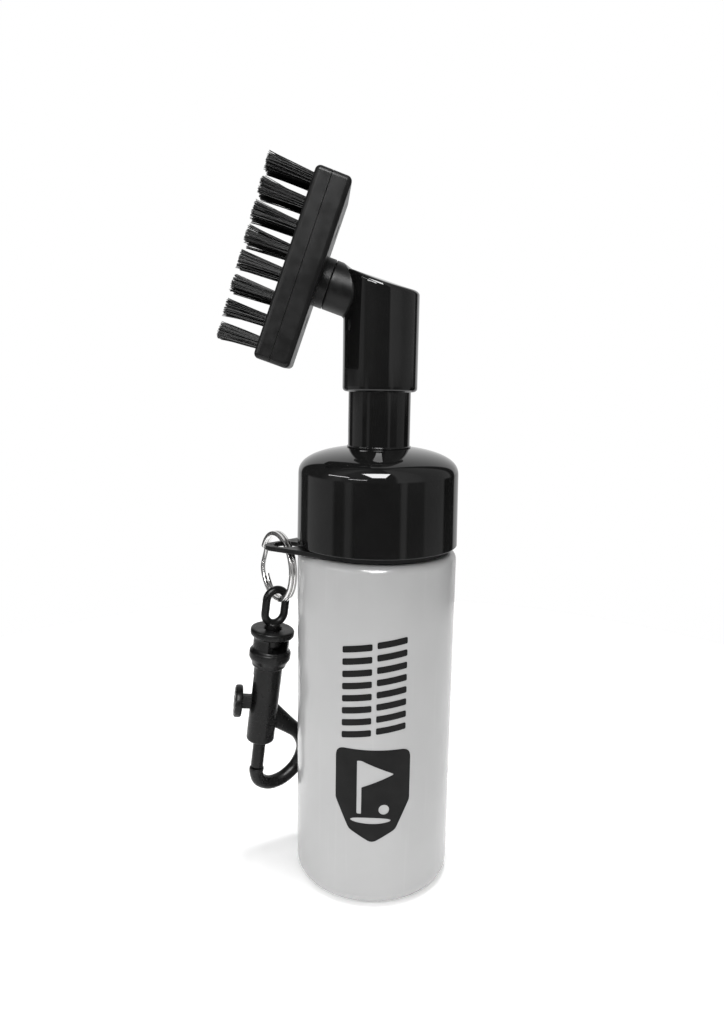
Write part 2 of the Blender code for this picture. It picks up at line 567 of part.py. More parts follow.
def make_elbow(axis, neck):
    """The vertical sleeve, with a slanted top, and the neck that leaves it for the brush."""
    above = 168.0
    sleeve = [
        (0, above), (ELBOW_R, above), (ELBOW_R, ELBOW_LOW + 1.0), (ELBOW_R - 0.3, ELBOW_LOW + 0.3),
        (ELBOW_R - 1.0, ELBOW_LOW), (0, ELBOW_LOW),
    ]
    elbow = turned("elbow", sleeve, axis, BLACK_GLOSS)
    slope = ELBOW_TOP_FRONT - ELBOW_TOP_BACK
    slant = empty("elbow_top", ELBOW_TOP_BACK, Vector((-slope.z, 0, slope.x)) * -1, slope)
    reach = 40.0
    cut(elbow, blocks("slanted_top", [((-reach, -reach, 0), (reach, reach, reach))], slant))
    spout = [
        (0, SPOUT_END), (SPOUT_R - 0.4, SPOUT_END), (SNAP_R, SNAP_HIGH), (SNAP_R, SNAP_LOW),
        (SPOUT_R, SNAP_LOW), (SPOUT_R, GROOVE_HIGH), (GROOVE_R, GROOVE_HIGH),
        (GROOVE_R, GROOVE_LOW), (SPOUT_R, GROOVE_LOW), (SPOUT_R, NECK_END),
        (NECK_TUBE_R, NECK_END), (NECK_TUBE_R, 0), (0, 0),
    ]
    join(elbow, turned("neck", spout, neck))
    inside = [
        (0, BALL_CEILING), (BALL_BORE, BALL_CEILING), (BALL_BORE, BALL_FLOOR),
        (ROD_SOCKET, BALL_FLOOR), (ROD_SOCKET, BOSS_LOW), (BOSS_R, BOSS_LOW),
        (BOSS_R, ELBOW_CEILING), (ELBOW_BORE, ELBOW_CEILING), (ELBOW_BORE, ELBOW_LOW - OVER),
        (0, ELBOW_LOW - OVER),
    ]
    cut(elbow, turned("sleeve_inside", inside, axis))
    end = SPOUT_END + OVER
    cut(elbow, cylinders("passage", [(0, 0)], PASSAGE_R, 0.3, end, neck, sides=SMALL))
    half, root = KEY_WIDE / 2, ELBOW_BORE + 0.6
    keys = [
        ((-root, -half, KEY_LOW), (-KEY_R, half, KEY_HIGH)),
        ((KEY_R, -half, KEY_LOW), (root, half, KEY_HIGH)),
    ]
    join(elbow, blocks("keys", keys, axis))


def rounded_block(name, back, face, rounded_z, head):
    """A block the size of the head. Its corners and the edges at rounded_z are rounded."""
    size = Matrix.Diagonal((HEAD_LONG * MM, HEAD_WIDE * MM, (face - back) * MM, 1))
    middle = Matrix.Translation((0, 0, (back + face) / 2 * MM))
    shape = bmesh.new()
    bmesh.ops.create_cube(shape, size=1, matrix=middle @ size)
    near = 0.01 * MM
    edges = []
    for edge in shape.edges:
        heights = [vert.co.z for vert in edge.verts]
        upright = abs(heights[0] - heights[1]) > near
        if upright or all(abs(z - rounded_z * MM) < near for z in heights):
            edges.append(edge)
    bmesh.ops.bevel(
        shape, geom=edges, offset=HEAD_ROUND * MM, segments=2, profile=0.5, affect="EDGES"
    )
    return from_bmesh(name, shape, head, BLACK_SATIN)


def make_back_cover(head):
    cover = rounded_block("brush_back_cover", HEAD_BACK, COVER_FACE, HEAD_BACK, head)
    sleeve = (COLLAR_START, HEAD_BACK + 0.5)
    join(cover, cylinders("collar_tube", [(0, 0)], COLLAR_TUBE_R, *sleeve, head))
    x, y = HEAD_LONG / 2 - HEAD_WALL, HEAD_WIDE / 2 - HEAD_WALL
    inside = HEAD_BACK + HEAD_WALL
    cut(cover, blocks("chamber", [((-x, -y, inside), (x, y, COVER_FACE + OVER))], head))
    low = COLLAR_START - OVER
    cut(cover, cylinders("collar_bore", [(0, 0)], COLLAR_BORE, low, inside + OVER, head))
    places = screw_places()
    low = HEAD_BACK - OVER
    cut(cover, cylinders("pockets", places, SCREW_POCKET, low, SCREW_POCKET_FLOOR, head, sides=12))
    cut(cover, cylinders("clearance", places, SCREW_HOLE, low, inside + OVER, head, sides=8))


def row_places():
    return [ROWS_MIDDLE + (row - (ROWS - 1) / 2) * ROW_PITCH for row in range(ROWS)]


def tuft_places(x):
    """Where the tufts of the row at x stand. The rows beside the nozzle have none in the middle."""
    places = [(tuft - (TUFTS - 1) / 2) * TUFT_PITCH for tuft in range(TUFTS)]
    return [y for y in places if y or abs(x - ROWS_MIDDLE) > ROW_PITCH]


def screw_places():
    return [(ROWS_MIDDLE - SCREW_AT, 0), (ROWS_MIDDLE + SCREW_AT, 0)]


def make_bristle_plate(head):
    """The front half of the head: a channel behind each row, and a hole for each tuft."""
    plate = rounded_block("bristle_plate", PLATE_BACK, HEAD_FACE, HEAD_FACE, head)
    screws = screw_places()
    join(plate, cylinders("posts", screws, POST_R, POST_TOP, PLATE_BACK + 0.5, head, sides=12))
    half, long, low = CHANNEL_WIDE / 2, CHANNEL_LONG / 2, PLATE_BACK - OVER
    channels = [((x - half, -long, low), (x + half, long, CHANNEL_FLOOR)) for x in row_places()]
    cut(plate, blocks("channels", channels, head))
    tufts = [(x, y) for x in row_places() for y in tuft_places(x)]
    low, high = CHANNEL_FLOOR - 0.5, HEAD_FACE + OVER
    cut(plate, cylinders("tuft_holes", tufts, TUFT_HOLE, low, high, head, sides=8))
    low = POST_TOP - OVER
    cut(plate, cylinders("screw_holes", screws, SCREW_HOLE, low, POST_HOLE_END, head, sides=8))
    middle = [(ROWS_MIDDLE, 0)]
    pocket = (NOZZLE_POCKET_FLOOR, HEAD_FACE + OVER)
    cut(plate, cylinders("nozzle_pocket", middle, NOZZLE_POCKET, *pocket, head, sides=12))
    feed = (PLATE_BACK - OVER, NOZZLE_POCKET_FLOOR + 0.5)
    cut(plate, cylinders("nozzle_feed", middle, NOZZLE_FEED, *feed, head, sides=8))


def make_head_seal(head):
    x, y = HEAD_LONG / 2 - HEAD_WALL - 0.2, HEAD_WIDE / 2 - HEAD_WALL - 0.2
    loops = []
    for inset in (0, FRAME_SEAL_WIDE):
        a, b = x - inset, y - inset
        loops.append([(a, b), (-a, b), (-a, -b), (a, -b)])
    outline("head_seal", loops, FRAME_SEAL_LOW, FRAME_SEAL_HIGH, head, RUBBER)


def make_head_screws(head):
    for name, (x, y) in zip(("head_screw_lower", "head_screw_upper"), screw_places()):
        top = HEAD_BACK + 0.1
        profile = [
            (0, SCREW_END), (SCREW_R, SCREW_END), (SCREW_R, top + SCREW_HEAD_THICK),
            (SCREW_HEAD_R, top + SCREW_HEAD_THICK), (SCREW_HEAD_R, top), (0, top),
        ]
        screw = turned(name, list(reversed(profile)), head, STEEL, 12)
        screw.modifiers["Turn"].use_normal_flip = True
        screw.location = Vector((x, y, 0)) * MM


def make_bristle_rows(head):
    """Each row is its tufts on one anchor strip. The rows fan out towards the head's ends."""
    for number, x in enumerate(row_places(), start=1):
        half, long = STRIP_WIDE / 2, STRIP_LONG / 2
        strip = [((x - half, -long, STRIP_LOW), (x + half, long, STRIP_HIGH))]
        row = blocks(f"bristle_row_{number}", strip, head, BRISTLE_NYLON)
        shape = bmesh.new()
        root = STRIP_LOW + 0.4
        long = TUFT_TIP + TIP_SLOPE * x - root
        lean = Matrix.Rotation(FAN * x / row_places()[-1], 4, "Y")
        for y in tuft_places(x):
            foot = Matrix.Translation(Vector((x, y, root)) * MM)
            middle = Matrix.Translation((0, 0, long / 2 * MM))
            bmesh.ops.create_cone(
                shape, cap_ends=True, segments=8, radius1=TUFT_ROOT_R * MM,
                radius2=TUFT_TIP_R * MM, depth=long * MM, matrix=foot @ lean @ middle,
            )
        join(row, from_bmesh(f"tufts_{number}", shape, head))


def main():
    still = empty("bottle_axis")
    make_bottle(still)

    lanyard = empty("lanyard_axis")
    make_lanyard_ring(lanyard)
    ring_place = (RING_CENTRE.x, RING_CENTRE.y, RING_HINGE_Z)
    along = Vector((math.cos(RING_AZIMUTH), math.sin(RING_AZIMUTH), 0))
    make_split_ring(empty("ring_hinge", ring_place, (0, 0, 1), along))
    up = CLIP_TOP - CLIP_FOOT
    strand = RING_CENTRE - Vector((0, 0, RING_R))
    make_swivel_eye(empty("eye_hinge", strand, up, along.cross(up)))
    reach = Vector((math.cos(HOOK_AZIMUTH), math.sin(HOOK_AZIMUTH), 0))
    clip = empty("clip_swivel", CLIP_TOP, up, reach)
    side = Matrix.Rotation(KNOB_TURN, 3, up) @ clip.matrix_world.col[0].xyz
    thumb = empty("thumb_axis", CLIP_TOP + up.normalized() * KNOB_Z, side, up)
    make_snap_hook(clip, thumb)
    make_latch(empty("bolt_slide", CLIP_TOP, up, reach), thumb)
    spring = ("latch_spring", LATCH_COIL_R, LATCH_WIRE, LATCH_TURNS)
    make_spring(*spring, BOLT_HIGH, BOLT_BORE_TOP, clip)

    turning = empty("cap_axis")
    make_cap(turning)
    gasket = ("cap_gasket", GASKET_R, GASKET_BORE, GASKET_LOW, GASKET_HIGH)
    make_ring(*gasket, empty("gasket_axis"), RUBBER, LARGE)
    make_pump_tower(turning)
    make_pump_cylinder(turning)
    make_ring("rod_seal", SEAL_R, SEAL_BORE, SEAL_LOW, SEAL_HIGH, turning, RUBBER)
    retainer = ("ball_retainer", RETAINER_R, RETAINER_BORE, RETAINER_LOW, RETAINER_HIGH)
    make_ring(*retainer, turning, CLEAR_PLASTIC, SMALL)
    make_ring("dip_tube", DIP_R, DIP_BORE, DIP_LOW, DIP_TOP, turning, CLEAR_PLASTIC, SMALL)
    spring = ("return_spring", RETURN_COIL_R, RETURN_WIRE, RETURN_TURNS)
    make_spring(*spring, WEB_HIGH, ELBOW_CEILING, turning)
    ball("inlet_ball", INLET_BALL_R, INLET_BALL_Z, empty("inlet_ball_slide"), STEEL)

    pressed = empty("press_slide")
    make_piston(pressed)
    make_ring("piston_rod", ROD_R, ROD_BORE, ROD_LOW, ROD_TOP, pressed, CLEAR_PLASTIC, SMALL)
    outward = Vector((-math.cos(NECK_RISE), 0, math.sin(NECK_RISE)))
    upward = Vector((math.sin(NECK_RISE), 0, math.cos(NECK_RISE)))
    head = empty("head_axis", NECK_AT, outward, upward)
    make_elbow(pressed, head)
    ball("outlet_ball", OUTLET_BALL_R, OUTLET_BALL_Z, empty("outlet_ball_slide"), STEEL)
    middle = (GROOVE_LOW + GROOVE_HIGH) / 2
    o_ring("neck_o_ring", NECK_RING_R, NECK_RING_WIRE, middle, head, RUBBER)

    make_back_cover(head)
    make_bristle_plate(head)
    make_head_seal(head)
    nozzle = empty("nozzle_axis", NECK_AT + upward * ROWS_MIDDLE, outward, upward)
    make_ring("spray_nozzle", NOZZLE_R, NOZZLE_BORE, NOZZLE_BACK, NOZZLE_FACE, nozzle, STEEL, 12)
    make_head_screws(head)
    make_bristle_rows(head)


for old in list(bpy.data.objects):
    bpy.data.objects.remove(old, do_unlink=True)
PARTS = new_collection("club_groove_brush")
CUTTERS = new_collection("cutters", hidden=True)
main()
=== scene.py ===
"""Club groove brush: the looks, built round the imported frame.

Dimensions are in millimetres in the frame's axes: the origin is the centre of the bottle's flat base, +Z is
up, and the brush points along -X. Each shape is drawn in its own local frame, and finished() places it and
turns it into metres.
"""

import math
import random

import bmesh
import bpy
from mathutils import Matrix, Vector


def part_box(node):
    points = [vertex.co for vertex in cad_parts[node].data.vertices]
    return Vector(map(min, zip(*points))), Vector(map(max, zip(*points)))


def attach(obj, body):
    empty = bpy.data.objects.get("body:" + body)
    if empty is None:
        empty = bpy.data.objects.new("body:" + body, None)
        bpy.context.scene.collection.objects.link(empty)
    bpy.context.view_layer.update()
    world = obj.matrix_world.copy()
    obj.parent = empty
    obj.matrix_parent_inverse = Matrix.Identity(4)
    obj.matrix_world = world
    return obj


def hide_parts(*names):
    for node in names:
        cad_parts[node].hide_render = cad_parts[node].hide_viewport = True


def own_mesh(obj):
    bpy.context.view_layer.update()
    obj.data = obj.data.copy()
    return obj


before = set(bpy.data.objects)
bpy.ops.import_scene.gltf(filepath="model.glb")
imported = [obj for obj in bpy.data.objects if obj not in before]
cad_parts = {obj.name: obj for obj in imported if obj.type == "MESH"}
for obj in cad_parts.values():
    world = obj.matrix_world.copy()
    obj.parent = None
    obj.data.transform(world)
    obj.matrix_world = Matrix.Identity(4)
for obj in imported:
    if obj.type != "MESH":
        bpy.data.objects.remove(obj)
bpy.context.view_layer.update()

MM = 0.001
ROUND = 128  # facets round a large turned piece
SMALL_ROUND = 64
OVER = 1.0  # how far a cutter passes the face that it cuts


def heights(node):
    """Lowest and highest point of a CAD node, in millimetres."""
    low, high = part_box(node)
    return low.z / MM, high.z / MM


def reach(node):
    """Radius of a CAD node that is turned round the Z axis, in millimetres."""
    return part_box(node)[1].y / MM


# Bottle, cap and lanyard ring
BOTTLE_R, NECK_TOP = reach("bottle"), heights("bottle")[1]
BASE_ROUND, BOTTLE_WALL, FLOOR_Z = 3.6, 1.3, 1.8
SHOULDER_Z, SHOULDER_ROUND, NECK_R, NECK_BORE = 91.1, 2.0, 15.0, 13.4
THREAD_PITCH, THREAD_RIDGE = 3.6, 0.95
MALE_R, MALE_Z, MALE_TURNS = 14.95, 99.5, 1.75
FEMALE_R, FEMALE_TURNS = 16.25, 1.5
CAP_R, CAP_BOTTOM = reach("cap"), heights("cap")[0]
CAP_HOLE, CAP_TOP_R, DOME_Z = 7.2, 20.85, 110.0
DOME_RISE, DOME_RUN, DOME_POWER, DOME_CROWN = 5.75, 16.0, 3.8, 2.8
CAP_SHELL_BORE, CAP_CAVITY_TOP, CAP_CEILING, SKIRT_BORE, SKIRT_R = 19.4, 108.5, 113.5, 16.5, 17.9
LANYARD_LOW, LANYARD_HIGH = heights("lanyard_ring")
LANYARD_R, LANYARD_BORE = 19.0, 16.3
TAB_AZIMUTH, TAB_TIP_AT, TAB_TIP_R, TAB_HOLE_AT, TAB_HOLE_R = math.radians(185.0), 26.1, 3.4, 23.9, 3.3

# Printed artwork on the bottle, centred on this azimuth
PRINT_AZIMUTH = math.radians(-94.4)
BADGE_LOW, BADGE_HIGH, BADGE_WIDE = 18.5, 44.0, 19.5
GROOVES_LOW, GROOVES, GROOVES_WIDE, GROOVES_GAP = 46.6, 8, 7.6, 1.2
GROOVE_PITCH, GROOVE_TALL, GROOVE_SLANT = 3.2, 1.7, 1.2

# Split ring and clip
RING_CENTRE, RING_R, RING_AZIMUTH = Vector((-26.4, 3.4, 85.25)), 9.0, math.radians(118.6)
STRAND_DEEP, STRAND_WIDE, COIL_STEP, JOG = 1.3, 0.92, 1.02, math.radians(20)
CLIP_TOP, CLIP_FOOT = Vector((-27.9, 4.0, 67.7)), Vector((-32.3, 5.0, 30.3))
HOOK_AZIMUTH = math.radians(30)
EYE_WIRE, EYE_BEND, EYE_LOW, EYE_HIGH = 1.1, 2.85, 1.45, 11.05
EYE_STEM_R, EYE_HEAD_R, EYE_HEAD_HIGH, EYE_HEAD_LOW = 2.0, 3.0, -2.6, -5.0
DISC_R, DISC_HOLE = 6.0, 2.35
CAGE_R, CAGE_HOLLOW, CAGE_HIGH, CAGE_LOW, WINDOW_WIDE = 4.9, 3.4, -2.2, -5.8, 5.8
COLLAR_R, WAIST_R, BARREL_R, BARREL_LOW = 5.7, 4.7, 3.9, -33.3
BOLT_BORE, BOLT_BORE_TOP, SLOT_WIDE, SLOT_HIGH, SLOT_LOW = 2.05, -8.0, 2.8, -13.8, -24.3
HOOK_WIRE, HOOK_TIP_Z = 1.9, -42.0
BOLT_R, BOLT_HIGH, BOLT_LOW = 1.75, -20.6, -41.7
KNOB_Z, KNOB_R, KNOB_FACE, KNOB_BACK, KNOB_STEM_TALL, KNOB_STEM_WIDE = -22.0, 4.5, 8.3, 6.2, 3.8, 2.2
KNOB_TURN = math.radians(157)  # from the hook, round the clip
LATCH_COIL_R, LATCH_WIRE, LATCH_TURNS = 1.35, 0.3, 8

# Pump tower and elbow
TOWER_LOW, TOWER_TOP = heights("pump_tower")
TOWER_R, TOWER_BORE, TOWER_FOOT_R, TOWER_FOOT_LOW, TOWER_FOOT_HIGH = 8.0, 6.0, 8.3, 118.1, 118.5
SPIGOT_R, SPIGOT_BORE, WEB_LOW, WEB_HIGH, WEB_BORE = 6.9, 5.7, 116.5, 119.3, 2.75
KEY_WIDE, KEY_R, KEY_LOW, KEY_HIGH = 1.2, 7.25, 133.8, 138.0
KEYWAY_WIDE, KEYWAY_R, KEYWAY_LOW = 1.9, 6.9, 122.0
RETURN_COIL_R, RETURN_WIRE, RETURN_TURNS = 4.9, 0.5, 9
ELBOW_R, ELBOW_BORE, ELBOW_LOW, ELBOW_CEILING = 9.6, 8.2, 132.3, 151.5
ELBOW_TOP_BACK, ELBOW_TOP_FRONT = Vector((9.6, 0, 157.0)), Vector((-9.6, 0, 162.8))
BOSS_R, BOSS_LOW, BALL_FLOOR, BALL_CEILING, BALL_BORE, ROD_SOCKET = 3.7, 145.0, 153.2, 156.6, 2.1, 2.7
NECK_AT, NECK_RISE = Vector((0, 0, 154.0)), math.radians(19)
NECK_TUBE_R, NECK_END, NECK_FILLET, PASSAGE_R = 6.2, 13.85, 0.6, 2.0
SPOUT_R, SPOUT_END, GROOVE_R, GROOVE_LOW, GROOVE_HIGH = 4.0, 19.7, 3.2, 15.4, 16.8
SNAP_R, SNAP_LOW, SNAP_HIGH = 4.8, 18.4, 19.1

# Brush head. Its own frame has X up along the head, Y across it and Z out of the bristle face.
HEAD_LONG, HEAD_WIDE, HEAD_ROUND, HEAD_WALL = 46.2, 26.0, 1.3, 1.8
HEAD_BACK, COVER_FACE, PLATE_BACK, HEAD_FACE = 16.3, 21.17, 21.23, 25.2
COLLAR_TUBE_R, COLLAR_BORE, COLLAR_START = 6.25, 4.4, 13.95
ROWS, ROW_PITCH, ROWS_MIDDLE, TUFTS, TUFT_PITCH = 8, 5.8, 0.9, 3, 3.9
CHANNEL_WIDE, CHANNEL_LONG, CHANNEL_FLOOR = 3.2, 12.8, 23.0
STRIP_WIDE, STRIP_LONG, STRIP_LOW, STRIP_HIGH = 2.5, 12.0, 21.6, 22.7
TUFT_HOLE, TUFT_ROOT_R, TUFT_TIP_R = 1.75, 1.5, 2.1
TUFT_TIP, TIP_SLOPE, FAN = 36.6, 0.04, math.radians(2)  # the tips stand higher up the head
FILAMENT_R, FILAMENTS, CLUMPS, CLUMP_SPREAD, TIP_SPREAD = 0.11, 96, 7, 0.22, 0.12
STRAY_SHARE, STRAY_SPREAD, SHORT_SPREAD, OUTER_SHORTER = 0.03, 0.6, 0.22, 0.1
BOW_SPREAD, BOW_INWARD = 0.1, 0.12
NOZZLE_R, NOZZLE_BORE, NOZZLE_BACK, NOZZLE_FACE, NOZZLE_POCKET = 1.7, 0.5, 23.9, 25.4, 2.0
NOZZLE_POCKET_FLOOR, NOZZLE_FEED = 23.6, 0.6
SCREW_AT, SCREW_HEAD_R, SCREW_HEAD_THICK, SCREW_R, SCREW_END = 11.6, 1.5, 0.9, 0.6, 22.0
SCREW_POCKET, SCREW_POCKET_FLOOR, SCREW_HOLE = 1.8, 17.4, 0.9
POST_R, POST_TOP, POST_HOLE_END = 1.3, 18.4, 22.4

# Camera, in millimetres and degrees
CAMERA_AT = Vector((-15.54, -199.55, 136.85))
CAMERA_YAW, CAMERA_PITCH, CAMERA_ROLL = math.radians(3.28), math.radians(10.2), math.radians(0.865)
CAMERA_LENS, CAMERA_SENSOR = 27.07, 36.0

# The room: pairs of an angle from the front, positive to the right, and a brightness
LOW_BANDS = (
    (-180, 0.65), (-148, 0.65), (-144, 0.05), (-124, 0.05), (-119, 0.45), (-72, 0.40), (-66, 0.08),
    (-53, 0.08), (-49, 0.35), (-43, 0.35), (-38, 0.07), (26, 0.10), (30, 0.45), (35, 0.45), (38, 0.13),
    (62, 0.14), (66, 0.32), (100, 0.32), (104, 0.03), (131, 0.03), (135, 0.65), (180, 0.65),
)
HIGH_BANDS = (
    (-180, 0.85), (-148, 0.85), (-144, 0.05), (-90, 0.10), (-68, 0.40), (-59, 0.40), (-53, 0.20),
    (-30, 0.20), (-15, 0.14), (20, 0.12), (24, 0.60), (52, 0.48), (66, 0.34), (116, 0.36), (120, 0.04),
    (131, 0.04), (135, 0.85), (180, 0.85),
)
ZENITH, AMBIENT, FLOOR_GLOW = 0.08, 0.45, 0.16


# Frames


def frame_at(origin, z_axis, x_axis):
    """A placement whose Z axis is z_axis, with its X axis as near x_axis as that allows."""
    z = Vector(z_axis).normalized()
    y = z.cross(Vector(x_axis)).normalized()
    turn = Matrix((y.cross(z), y, z)).transposed().to_4x4()
    return Matrix.Translation(Vector(origin)) @ turn


def heading(azimuth):
    return Vector((math.cos(azimuth), math.sin(azimuth), 0))


UP = Vector((0, 0, 1))
UPRIGHT = Matrix.Identity(4)
CLIP_UP = CLIP_TOP - CLIP_FOOT
CLIP = frame_at(CLIP_TOP, CLIP_UP, heading(HOOK_AZIMUTH))
EYE = frame_at(CLIP_TOP, CLIP_UP, heading(RING_AZIMUTH).cross(CLIP_UP))
RING = frame_at(RING_CENTRE, heading(RING_AZIMUTH).cross(UP) * -1, heading(RING_AZIMUTH))
KNOB = CLIP @ frame_at((0, 0, KNOB_Z), heading(KNOB_TURN), UP)
NECK_OUT = Vector((-math.cos(NECK_RISE), 0, math.sin(NECK_RISE)))
HEAD = frame_at(NECK_AT, NECK_OUT, (math.sin(NECK_RISE), 0, math.cos(NECK_RISE)))


# Making shapes. Each returns a bmesh in millimetres.


def turned(profile, steps=ROUND):
    """A profile of (radius, z) turned round Z. It is closed on the axis, or else its ends meet."""
    shape = bmesh.new()
    rings = []
    for r, z in profile:
        count = steps if r else 1
        angles = [2 * math.pi * k / steps for k in range(count)]
        rings.append([shape.verts.new((r * math.cos(a), r * math.sin(a), z)) for a in angles])
    pairs = list(zip(rings, rings[1:]))
    if profile[0][0] or profile[-1][0]:
        pairs.append((rings[-1], rings[0]))
    for a, b in pairs:
        for k in range(steps):
            n = (k + 1) % steps
            corners = (a[k % len(a)], a[n % len(a)], b[n % len(b)], b[k % len(b)])
            corners = list(dict.fromkeys(corners))
            if len(corners) > 2:
                shape.faces.new(corners)
    bmesh.ops.recalc_face_normals(shape, faces=shape.faces)
    return shape


def softened(points, radius, closed=False, steps=4):
    """The polyline with its corners rounded, by no more than the sides beside them allow."""
    points = [Vector(p) for p in points]
    count = len(points)
    made = []
    for i, corner in enumerate(points):
        back, ahead = points[i - 1] - corner, points[(i + 1) % count] - corner
        end = not closed and i in (0, count - 1)
        if end or back.length < 1e-6 or ahead.length < 1e-6 or back.angle(ahead) > math.radians(160):
            made.append(corner)
            continue
        cut = min(radius / math.tan(back.angle(ahead) / 2), 0.45 * back.length, 0.45 * ahead.length)
        start, finish = corner + back.normalized() * cut, corner + ahead.normalized() * cut
        for k in range(steps + 1):
            t = k / steps
            made.append(start * (1 - t) ** 2 + corner * 2 * t * (1 - t) + finish * t * t)
    return [tuple(p) for p in made]


def arc(x, y, radius, start, end, steps):
    """Points on an arc round (x, y), from the start angle to the end angle in degrees."""
    angles = [math.radians(start + (end - start) * i / steps) for i in range(steps + 1)]
    return [(x + radius * math.cos(a), y + radius * math.sin(a)) for a in angles]


def oval(x, y, wide, tall, count=48):
    angles = [2 * math.pi * k / count for k in range(count)]
    return [(x + wide * math.cos(a), y + tall * math.sin(a)) for a in angles]


def helix(radius, start_z, pitch, turns, per_turn=40):
    """Points along a coil. The ends of a spring can be closed by giving the pitch as a function."""
    count = round(turns * per_turn)
    points, z = [], start_z
    for i in range(count + 1):
        angle = 2 * math.pi * i / per_turn
        points.append(Vector((radius * math.cos(angle), radius * math.sin(angle), z)))
        z += (pitch(i / count) if callable(pitch) else pitch) / per_turn
    return points


def smooth_path(points, steps):
    """A Catmull-Rom curve through the points, with this many steps between neighbours."""
    points = [Vector(p) for p in points]
    ends = [2 * points[0] - points[1]] + points + [2 * points[-1] - points[-2]]
    path = []
    for a, b, c, d in zip(ends, ends[1:], ends[2:], ends[3:]):
        for i in range(steps):
            t = i / steps
            bend = (2 * a - 5 * b + 4 * c - d) * t * t + (3 * b - a - 3 * c + d) * t**3
            path.append((2 * b + (c - a) * t + bend) / 2)
    return path + [points[-1]]


def swept(path, section, up=UP, closed=False, scales=None):
    """A section of (side, up) points carried along the path. scales holds (side, up) factors."""
    shape = bmesh.new()
    count = len(path)
    rings = []
    for i, point in enumerate(path):
        ahead = path[(i + 1) % count] if closed else path[min(i + 1, count - 1)]
        behind = path[i - 1] if closed or i else path[0]
        along = (ahead - behind).normalized()
        side = along.cross(up).normalized()
        rise = side.cross(along)
        wide, tall = scales[i] if scales else (1, 1)
        rings.append([shape.verts.new(point + side * x * wide + rise * y * tall) for x, y in section])
    pairs = list(zip(rings, rings[1:]))
    if closed:
        pairs.append((rings[-1], rings[0]))
    for a, b in pairs:
        for k in range(len(section)):
            n = (k + 1) % len(section)
            shape.faces.new((a[k], a[n], b[n], b[k]))
    if not closed:
        shape.faces.new(rings[0])
        shape.faces.new(rings[-1])
    bmesh.ops.recalc_face_normals(shape, faces=shape.faces)
    return shape


def wire(path, radius, sides=16, **options):
    return swept(path, oval(0, 0, radius, radius, sides), **options)


def cylinder(radius, low, high, at=(0, 0), edge=0.0, steps=SMALL_ROUND):
    """A cylinder along Z at (x, y), with its edges rounded if edge is given."""
    profile = [(0, high), (radius, high), (radius, low), (0, low)]
    shape = turned(softened(profile, edge) if edge else profile, steps)
    bmesh.ops.translate(shape, verts=shape.verts, vec=(*at, 0))
    return shape


def block(low, high):
    low, high = Vector(low), Vector(high)
    shape = bmesh.new()
    size = Matrix.Diagonal((*(high - low), 1))
    bmesh.ops.create_cube(shape, size=1, matrix=Matrix.Translation((low + high) / 2) @ size)
    return shape


def outlined(loops, low, high, edge=0.0):
    """Flat closed loops of (x, y), filled between outer and inner ones, with rounded rims."""
    curve = bpy.data.curves.new("outline", "CURVE")
    curve.dimensions = "2D"
    curve.fill_mode = "BOTH"
    curve.extrude = (high - low) / 2 - edge
    curve.bevel_depth, curve.offset, curve.bevel_resolution = edge, -edge, 3
    for loop in loops:
        spline = curve.splines.new("POLY")
        spline.points.add(len(loop) - 1)
        spline.use_cyclic_u = True
        for i, (x, y) in enumerate(loop):
            spline.points[i].co = (x, y, 0, 1)
    shape = evaluated(bpy.data.objects.new("outline", curve))
    bmesh.ops.remove_doubles(shape, verts=shape.verts, dist=0.0005)
    bmesh.ops.translate(shape, verts=shape.verts, vec=(0, 0, (low + high) / 2))
    bmesh.ops.recalc_face_normals(shape, faces=shape.faces)
    return shape


def evaluated(obj, helpers=()):
    """The bmesh of an unlinked object with its modifiers applied. The object and its helpers go."""
    for item in (obj, *helpers):
        bpy.context.scene.collection.objects.link(item)
    mesh = bpy.data.meshes.new_from_object(obj.evaluated_get(bpy.context.evaluated_depsgraph_get()))
    shape = bmesh.new()
    shape.from_mesh(mesh)
    bpy.data.meshes.remove(mesh)
    for item in (obj, *helpers):
        bpy.data.objects.remove(item)
    return shape


def helper(shape):
    mesh = bpy.data.meshes.new("helper")
    shape.to_mesh(mesh)
    shape.free()
    return bpy.data.objects.new("helper", mesh)


def combined(shape, operation, others):
    base, tools = helper(shape), [helper(other) for other in others]
    for tool in tools:
        step = base.modifiers.new("step", "BOOLEAN")
        step.operation, step.solver, step.object = operation, "EXACT", tool
    return evaluated(base, tools)


def joined(shape, *others):
    return combined(shape, "UNION", others)


def cut(shape, *others):
    return combined(shape, "DIFFERENCE", others)


def moved(shape, matrix):
    shape.transform(matrix)
    return shape


def melted(shape, voxel, rounds):
    """Remeshes a shape evenly and relaxes it, so that its pieces flow into each other."""
    obj = helper(shape)
    remesh = obj.modifiers.new("remesh", "REMESH")
    remesh.mode, remesh.voxel_size = "VOXEL", voxel
    relax = obj.modifiers.new("relax", "SMOOTH")
    relax.factor, relax.iterations = 0.5, rounds
    return evaluated(obj)


def rounded_block(low, high, radius, segments, keep=None):
    """A block with rounded edges, other than those in the plane z = keep."""
    shape = block(low, high)
    edges = [e for e in shape.edges if keep is None or any(abs(v.co.z - keep) > 0.01 for v in e.verts)]
    bmesh.ops.bevel(shape, geom=edges, offset=radius, segments=segments, profile=0.5, affect="EDGES")
    return shape


